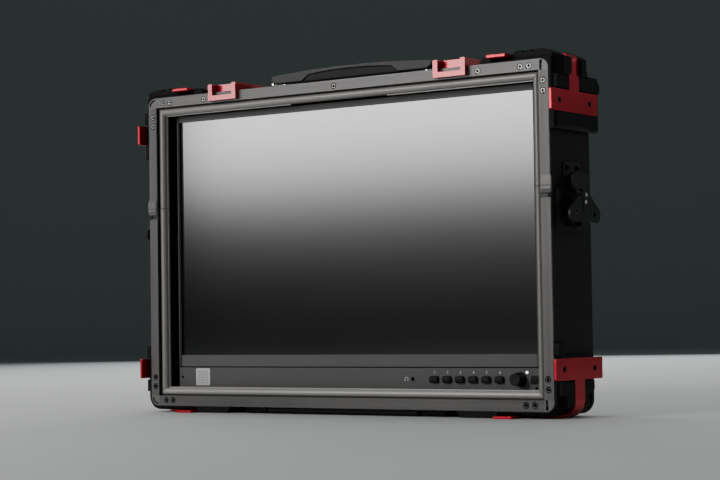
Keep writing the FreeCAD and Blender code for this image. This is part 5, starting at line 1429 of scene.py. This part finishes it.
@dataclass
class ControlStrip(SubAssembly):
    """Buttons, knob, marks and label along the lower edge of the monitor."""

    panel_y: float = -24.1 * MM
    flange: float = 1.0 * MM
    button_ease: float = 1.5 * MM
    button_dome: float = 0.55 * MM
    button_sunk: float = 2.2 * MM
    button_square: float = 5.0
    least_proud: float = 0.6 * MM
    knob_taper: float = 0.87
    knob_ease: float = 1.1 * MM
    knob_dish: float = 0.35 * MM
    knob_plain: float = 0.06
    knob_flutes: int = 36
    flute_depth: float = 0.32 * MM
    mark_size: float = 4.48 * MM
    mark_z: float = 51.0 * MM
    mark_thick: float = 0.05 * MM
    mark_bold: float = 0.12 * MM
    phones_x: float = 84.8 * MM
    phones_z: float = 43.0 * MM
    phones_radius: float = 2.3 * MM
    phones_arc: Pair = (-10.0, 190.0)
    phones_band: float = 0.7 * MM
    phones_pad: Pair = (0.65 * MM, 1.1 * MM)
    phones_ease: float = 0.01 * MM
    phones_square: float = 4.0
    phones_reach: float = 0.9
    phones_drop: float = 1.0 * MM
    label_x: Pair = (-239.7 * MM, -216.8 * MM)
    label_z: Pair = (33.4 * MM, 55.0 * MM)
    label_thick: float = 0.12 * MM
    label_ease: float = 0.04 * MM
    label_square: float = 18.0
    screw_x: float = 262.0 * MM
    screw_z: Pair = (43.8 * MM, 33.4 * MM)
    screw_head: ScrewHead = ScrewHead(radius=2.2 * MM, dome=0.1 * MM, depth=0.8 * MM,
                                      drive=Drive.CROSS, skirt=0.4 * MM, seat=0.2 * MM)
    jack_flange: float = 4.7 * MM
    jack_bore: float = 1.8 * MM
    jack_wall: float = 0.9 * MM
    jack_lead: float = 0.7 * MM
    power_bend: float = 0.3
    buttons: Tuple[str, ...] = ("button_1", "button_2", "button_3", "button_4", "button_5",
                                "button_6")

    def on_panel(self, node: str) -> Triple:
        """Point on the panel's face before a node's middle."""
        low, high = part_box(node)
        return ((low.x + high.x) / 2.0, self.panel_y, (low.z + high.z) / 2.0)

    def cap_half(self, node: str) -> Pair:
        """Half width and half height of a button without its flange."""
        low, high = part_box(node)
        return ((high.x - low.x) / 2.0 - self.flange, (high.z - low.z) / 2.0 - self.flange)

    def cap(self, node: str) -> Object:
        """Crowned cap in place of one button.

        Args:
            node: the button's node and body.

        Returns:
            The piece.
        """
        proud = self.panel_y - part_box(node)[0].y - self.button_dome
        ease = min(self.button_ease, 0.8 * max(proud, self.least_proud))
        shape = pillow_surface(self.cap_half(node), proud, self.button_sunk, ease,
                               self.button_dome, self.button_square)
        return self.add(node + "_cap", spots(shape, [self.on_panel(node)], Facing.FRONT),
                        ["key_black"], node, "control_black", node)

    def knob(self) -> Object:
        """Fluted knob in place of the plain one.

        The profile goes from the back of the skirt, up the tapered side, round a quarter circle
        and over a dished face to the middle.

        Returns:
            The piece.
        """
        low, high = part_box("knob")
        radius = (high.x - low.x) / 2.0
        length = high.y - low.y
        ease = self.knob_ease
        tip = self.knob_taper * radius
        side = np.linspace(0.0, 1.0, 12)
        bend = np.linspace(0.0, QUARTER_TURN, 7)[1:]
        face = np.linspace(1.0, 0.0, 10)[1:]
        dish = self.knob_dish * (1.0 - face ** 2) * (face < 0.9)
        along = np.concatenate([[0.0], side * (length - ease),
                                length - ease + ease * np.sin(bend), length - dish])
        reach = np.concatenate([[0.0], radius + (tip - radius) * side,
                                tip - ease + ease * np.cos(bend), (tip - ease) * face])
        cut = np.concatenate([[0.0], np.clip((side - self.knob_plain) * 12.0, 0.0, 1.0),
                              np.cos(bend), 0.0 * face])
        shape = turned_surface(along, reach, 288, self.knob_flutes, self.flute_depth * cut)
        place = ((low.x + high.x) / 2.0, high.y, (low.z + high.z) / 2.0)
        return self.add("knob_fluted", spots(shape, [place], Facing.FRONT), ["key_black"],
                        "knob", "control_black", "knob")

    def numeral(self, text: str, x: float) -> Object:
        """Printed number above a button, a text curve turned into a mesh.

        Args:
            text: the number.
            x: its middle.

        Returns:
            The piece.
        """
        curve = bpy.data.curves.new("legend_curve_" + text, "FONT")
        curve.body = text
        curve.size = self.mark_size
        curve.extrude = self.mark_thick / 2.0
        curve.offset = self.mark_bold
        curve.align_x = "CENTER"
        curve.align_y = "CENTER"
        holder = stand("legend_holder_" + text, curve)
        bpy.context.view_layer.update()
        mesh = bpy.data.meshes.new_from_object(holder)
        bpy.data.objects.remove(holder)
        flat = np.empty(len(mesh.vertices) * 3)
        mesh.vertices.foreach_get("co", flat)
        place = np.array([x, self.panel_y - self.mark_thick / 2.0, self.mark_z])
        points = flat.reshape(-1, 3) @ np.array(Facing.FRONT.value) + place
        mesh.vertices.foreach_set("co", points.ravel())
        mesh.materials.clear()
        mesh.materials.append(self.palette["legend_white"])
        mesh.update()
        return attach(stand("legend_" + text, mesh), "lower_case", "light_white")

    def phones_mark(self) -> Object:
        """Headphone sign: a band over an arc of 200 degrees with a rounded pad at each end.

        Returns:
            The piece.
        """
        angle = np.radians(np.linspace(*self.phones_arc, 33))
        path = self.phones_radius * np.stack([np.cos(angle), np.sin(angle)], axis=-1)
        band = ribbon_surface(path, self.phones_band, self.mark_thick)
        pad = pillow_surface(self.phones_pad, self.mark_thick, 0.0, self.phones_ease, 0.0,
                             self.phones_square)
        place = (self.phones_x, self.panel_y, self.phones_z)
        reach = self.phones_reach * self.phones_radius
        pads = [(self.phones_x + side * reach, self.panel_y, self.phones_z - self.phones_drop)
                for side in BOTH_SIDES]
        shape = together([spots(band, [place], Facing.FRONT), spots(pad, pads, Facing.FRONT)])
        return self.add("phones_mark", shape, ["legend_white"], "lower_case", "light_white")

    def label(self) -> Object:
        """Dotted label at the left end of the panel.

        Returns:
            The piece.
        """
        half = ((self.label_x[1] - self.label_x[0]) / 2.0,
                (self.label_z[1] - self.label_z[0]) / 2.0)
        centre = (sum(self.label_x) / 2.0, self.panel_y, sum(self.label_z) / 2.0)
        shape = pillow_surface(half, self.label_thick, 0.0, self.label_ease, 0.0,
                               self.label_square)
        self.palette.keep(DottedLabel("label_white", centre))
        return self.add("panel_label", spots(shape, [centre], Facing.FRONT), ["label_white"],
                        "lower_case", "light_white")

    def jack(self) -> Object:
        """Flush headphone socket: a thin flange and a deep bore.

        The profile goes from the flange's edge over its face, down the bore and back outside it.

        Returns:
            The piece.
        """
        rim, bore = self.jack_flange, self.jack_bore
        wall = bore + self.jack_wall
        along = MM * np.array([-0.1, 0.15, 0.2, 0.2, -0.4, -13.0, -13.0, -13.4, -13.4, -0.6, -0.6,
                               -0.1])
        reach = np.array([rim, rim, rim - 0.1 * MM, bore + self.jack_lead, bore, bore, 0.0, 0.0,
                          wall, wall, rim, rim])
        shape = turned_surface(along, reach, 48)
        marks = np.repeat(np.array([0, 0, 0, 1, 1, 1, 1, 1, 1, 0, 0]), 48)
        place = self.on_panel("headphone_jack")
        return self.add("headphone_jack_face", spots(shape, [place], Facing.FRONT),
                        ["panel_grey", "screw_black"], "lower_case", "control_black",
                        "headphone_jack", marks=marks)

    def power_frame(self) -> Object:
        """Dark frame round the power button: two superellipse loops joined by a low wall.

        Returns:
            The piece.
        """
        half = np.array(self.cap_half("power_button"))
        grow = np.array([1.2, 1.2, 0.3, 0.3, 1.2]) * MM
        rise = np.array([-0.1, 0.35, 0.35, -0.1, -0.1]) * MM
        plan = superellipse(64, self.power_bend)[None] * (half + grow[:, None])[:, None, :]
        shape = closed_grid(lifted(plan, rise[:, None]))
        place = self.on_panel("power_button")
        return self.add("power_button_frame", spots(shape, [place], Facing.FRONT),
                        ["cover_black"], "lower_case", "control_black")

    def screws(self) -> Object:
        """Heads of the panel's two screws.

        Returns:
            The piece.
        """
        places = [(side * self.screw_x, self.panel_y, z)
                  for side, z in zip(BOTH_SIDES, self.screw_z)]
        heads, marks = self.screw_head.row(places, Facing.FRONT)
        return self.add("panel_screws_heads", heads, ["screw_dark", "seat_black"], "lower_case",
                        "screw_steel", "panel_screws", marks=marks)

    def build(self) -> List[Object]:
        """All pieces of the strip.

        Returns:
            The pieces.
        """
        made = [self.cap(node) for node in self.buttons + ("power_button",)]
        made.append(self.knob())
        made += [self.numeral(str(number), self.on_panel(node)[0])
                 for number, node in enumerate(self.buttons, 1)]
        return made + [self.phones_mark(), self.label(), self.screws(), self.jack(),
                       self.power_frame()]

    def dress(self) -> None:
        """Powder-coated panel, lit pipe, board and encoder."""
        self.palette.cover("panel_grey", "control_panel")
        self.palette.cover("light_white", "power_light")
        self.palette.cover("board_green", "control_board")
        self.palette.cover("bracket_steel", "encoder_body", "encoder_shaft")


@dataclass
class RearServices(SubAssembly):
    """Rear cover, its brackets, board and connectors, with their screws and insulators."""

    cover_y: float = 28.4 * MM
    cover_x: float = 138.0 * MM
    cover_z: Pair = (116.0 * MM, 232.0 * MM)
    plate_y: float = 29.9 * MM
    plate_x: float = 131.5 * MM
    plate_z: Pair = (73.0 * MM, 99.0 * MM)
    screw_head: ScrewHead = ScrewHead(radius=2.7 * MM, dome=0.9 * MM, depth=0.9 * MM,
                                      drive=Drive.CROSS, skirt=0.3 * MM, seat=0.4 * MM)
    socket_x: Tuple[float, ...] = (-112.0 * MM, -85.0 * MM, -58.0 * MM, -31.0 * MM)
    socket_y: float = 39.9 * MM
    socket_z: float = 86.0 * MM

    def screws(self) -> Object:
        """Pan heads of the cover and of the connector plate.

        Returns:
            The piece.
        """
        places = [(side * x, y, z)
                  for x, y, levels in ((self.cover_x, self.cover_y, self.cover_z),
                                       (self.plate_x, self.plate_y, self.plate_z))
                  for side in BOTH_SIDES for z in levels]
        heads, marks = self.screw_head.row(places, Facing.BACK)
        return self.add("rear_screws_heads", heads, ["screw_steel", "seat_black"], "lower_case",
                        "screw_steel", marks=marks)

    def insulators(self) -> Object:
        """White sleeves round the pins of the video sockets: a rectangle turned about each pin.

        Returns:
            The piece.
        """
        along = np.array([-1.6, -1.6, -1.9, -7.4, -7.4, -1.6]) * MM
        radius = np.array([1.0, 2.2, 2.5, 2.5, 1.0, 1.0]) * MM
        places = [(x, self.socket_y, self.socket_z) for x in self.socket_x]
        shape = spots(turned_surface(along, radius, 40), places, Facing.BACK)
        return self.add("bnc_sockets_insulators", shape, ["sleeve_white"], "lower_case",
                        "light_white")

    def build(self) -> List[Object]:
        """Screw heads and insulators."""
        return [self.screws(), self.insulators()]

    def dress(self) -> None:
        """Black cover and inlet, grey plate, plated sockets."""
        self.palette.cover("cover_black", "rear_cover", "dc_inlet")
        self.palette.cover("panel_grey", "connector_plate")
        self.palette.cover("bracket_steel", "monitor_brackets", "hdmi_sockets", "bnc_sockets")
        self.palette.cover("board_green", "main_board")


# Studio


@dataclass
class Studio:
    """Pale sweep, soft lights and the camera at the photograph's angle."""

    camera_at: Triple = (1.3604, -1.9076, 0.1134)
    yaw: float = 35.428
    pitch: float = 2.385
    roll: float = -0.878
    lens: float = 96.11
    sensor: float = 36.0
    floor_rings: Tuple[float, ...] = (0.0, 0.5, 1.5, 3.0)
    floor_reach: float = 4.6
    sweep_radius: float = 1.2
    wall_top: float = 3.2
    card_y: float = -3.0
    card_x: Pair = (-3.1, -0.6)
    card_z: Pair = (0.02, 0.98)
    card_fade: Pair = (0.45, 0.1)
    card_power: float = 16.0
    card_rise: Tuple[Pair, ...] = ((0.05, 0.002), (0.2, 0.008), (0.3, 0.017), (0.4, 0.048),
                                   (0.5, 0.17), (0.6, 0.5), (0.7, 0.85), (0.8, 1.0))
    sky: Tuple[float, ...] = (0.9, 0.95, 1.0, 1.0)
    sky_power: float = 0.12

    def sweep(self) -> None:
        """Round sweep: floor, quarter circle and wall, a profile turned about the upright axis."""
        bend = np.linspace(0.0, QUARTER_TURN, 25)
        rim = self.floor_reach + self.sweep_radius * np.sin(bend)
        rise = self.sweep_radius * (1.0 - np.cos(bend))
        radius = np.concatenate([self.floor_rings, rim, [rim[-1]]])
        height = np.concatenate([np.zeros(len(self.floor_rings)), rise, [self.wall_top]])
        piece("studio_sweep", turned_surface(height, radius, 128),
                       [StudioPaper("studio_paper").make()])

    def card(self) -> None:
        """Tall softbox in front of the case, which the display mirrors: a flat grid of points."""
        x, z = np.meshgrid(np.linspace(*self.card_x, 9), np.linspace(*self.card_z, 9),
                           indexing="ij")
        points = np.dstack([x, np.full_like(x, self.card_y), z]).reshape(-1, 3)
        near, far = (self.card_x[0] + fade for fade in self.card_fade)
        mesh = bpy.data.meshes.new("studio_card")
        mesh.from_pydata(points.tolist(), [], grid_faces(9, 9, False).tolist())
        mesh.materials.append(
            SoftboxGlow("softbox_glow", near, far, self.card_power, self.card_rise).make())
        made = stand("studio_card", mesh)
        made.visible_camera = False
        made.visible_diffuse = False

    def lamp(self, name: str, at: Triple, aim: Triple, size: Pair, watts: float,
             mirrored: bool = True) -> None:
        """One soft area light.

        Args:
            name: its name.
            at: where it stands.
            aim: what it points at.
            size: its two sides.
            watts: its power.
            mirrored: whether shiny surfaces show it.
        """
        data = bpy.data.lights.new(name, "AREA")
        data.shape = "RECTANGLE"
        data.size, data.size_y = size
        data.energy = watts
        made = stand(name, data)
        made.visible_camera = False
        made.visible_glossy = mirrored
        made.location = at
        made.rotation_euler = (Vector(aim) - Vector(at)).to_track_quat("-Z", "Y").to_euler()

    def lights(self) -> None:
        """Key from above the front left, weak fill, top and rim, broad lights behind, a dim sky."""
        self.lamp("key_light", (-0.8, -2.3, 1.35), (0.0, 0.0, 0.32), (0.9, 0.7), 23.0)
        self.lamp("fill_light", (2.6, -1.6, 1.4), (0.1, 0.0, 0.2), (1.2, 1.2), 3.0)
        self.lamp("top_light", (0.0, 0.1, 2.4), (0.0, 0.0, 0.3), (1.6, 1.0), 11.0)
        self.lamp("rim_light", (1.8, 2.2, 1.5), (0.1, 0.0, 0.25), (0.8, 1.4), 5.0)
        self.lamp("back_light", (-1.4, 2.8, 0.95), (0.0, 0.0, 0.22), (2.4, 1.4), 66.0, False)
        self.lamp("side_light", (-2.7, 0.9, 1.2), (0.0, 0.0, 0.2), (2.2, 1.8), 27.0)
        world = bpy.data.worlds.new("studio_sky")
        world.use_nodes = True
        sky = world.node_tree.nodes["Background"]
        sky.inputs["Color"].default_value = self.sky
        sky.inputs["Strength"].default_value = self.sky_power
        bpy.context.scene.world = world

    def camera(self) -> None:
        """Camera from the photograph's yaw, pitch and roll."""
        yaw, pitch, roll = (math.radians(v) for v in (self.yaw, self.pitch, self.roll))
        ahead = Vector((-math.sin(yaw) * math.cos(pitch), math.cos(yaw) * math.cos(pitch),
                        math.sin(pitch)))
        right = Vector((math.cos(yaw), math.sin(yaw), 0.0))
        up = right.cross(ahead)
        level = math.cos(roll) * right + math.sin(roll) * up
        above = -math.sin(roll) * right + math.cos(roll) * up
        data = bpy.data.cameras.new("photo_camera")
        data.sensor_fit = "HORIZONTAL"
        data.sensor_width = self.sensor
        data.lens = self.lens
        made = stand("photo_camera", data)
        turn = Matrix((level, above, -ahead)).transposed()
        made.matrix_world = Matrix.Translation(self.camera_at) @ turn.to_4x4()
        bpy.context.scene.camera = made

    def build(self) -> None:
        """Stage, lights and camera."""
        self.sweep()
        self.card()
        self.lights()
        self.camera()


def main() -> None:
    """Build and dress every sub-assembly in order, then the studio."""
    logging.basicConfig(level=logging.INFO, format="%(name)s: %(message)s")
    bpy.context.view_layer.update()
    palette = Palette()
    palette.mix()
    groups = (FrontFrame(palette), CaseShells(palette), CornerArmour(palette),
              CaseScrews(palette), CarryHandle(palette), ButterflyLatch(palette, Side.RIGHT),
              ButterflyLatch(palette, Side.LEFT), Display(palette), ControlStrip(palette),
              RearServices(palette))
    for group in groups:
        for made in group.build():
            LOG.info("%s: %s, %d faces", type(group).__name__, made.name, len(made.data.polygons))
        group.dress()
    Studio().build()


if __name__ == "__main__":
    main()
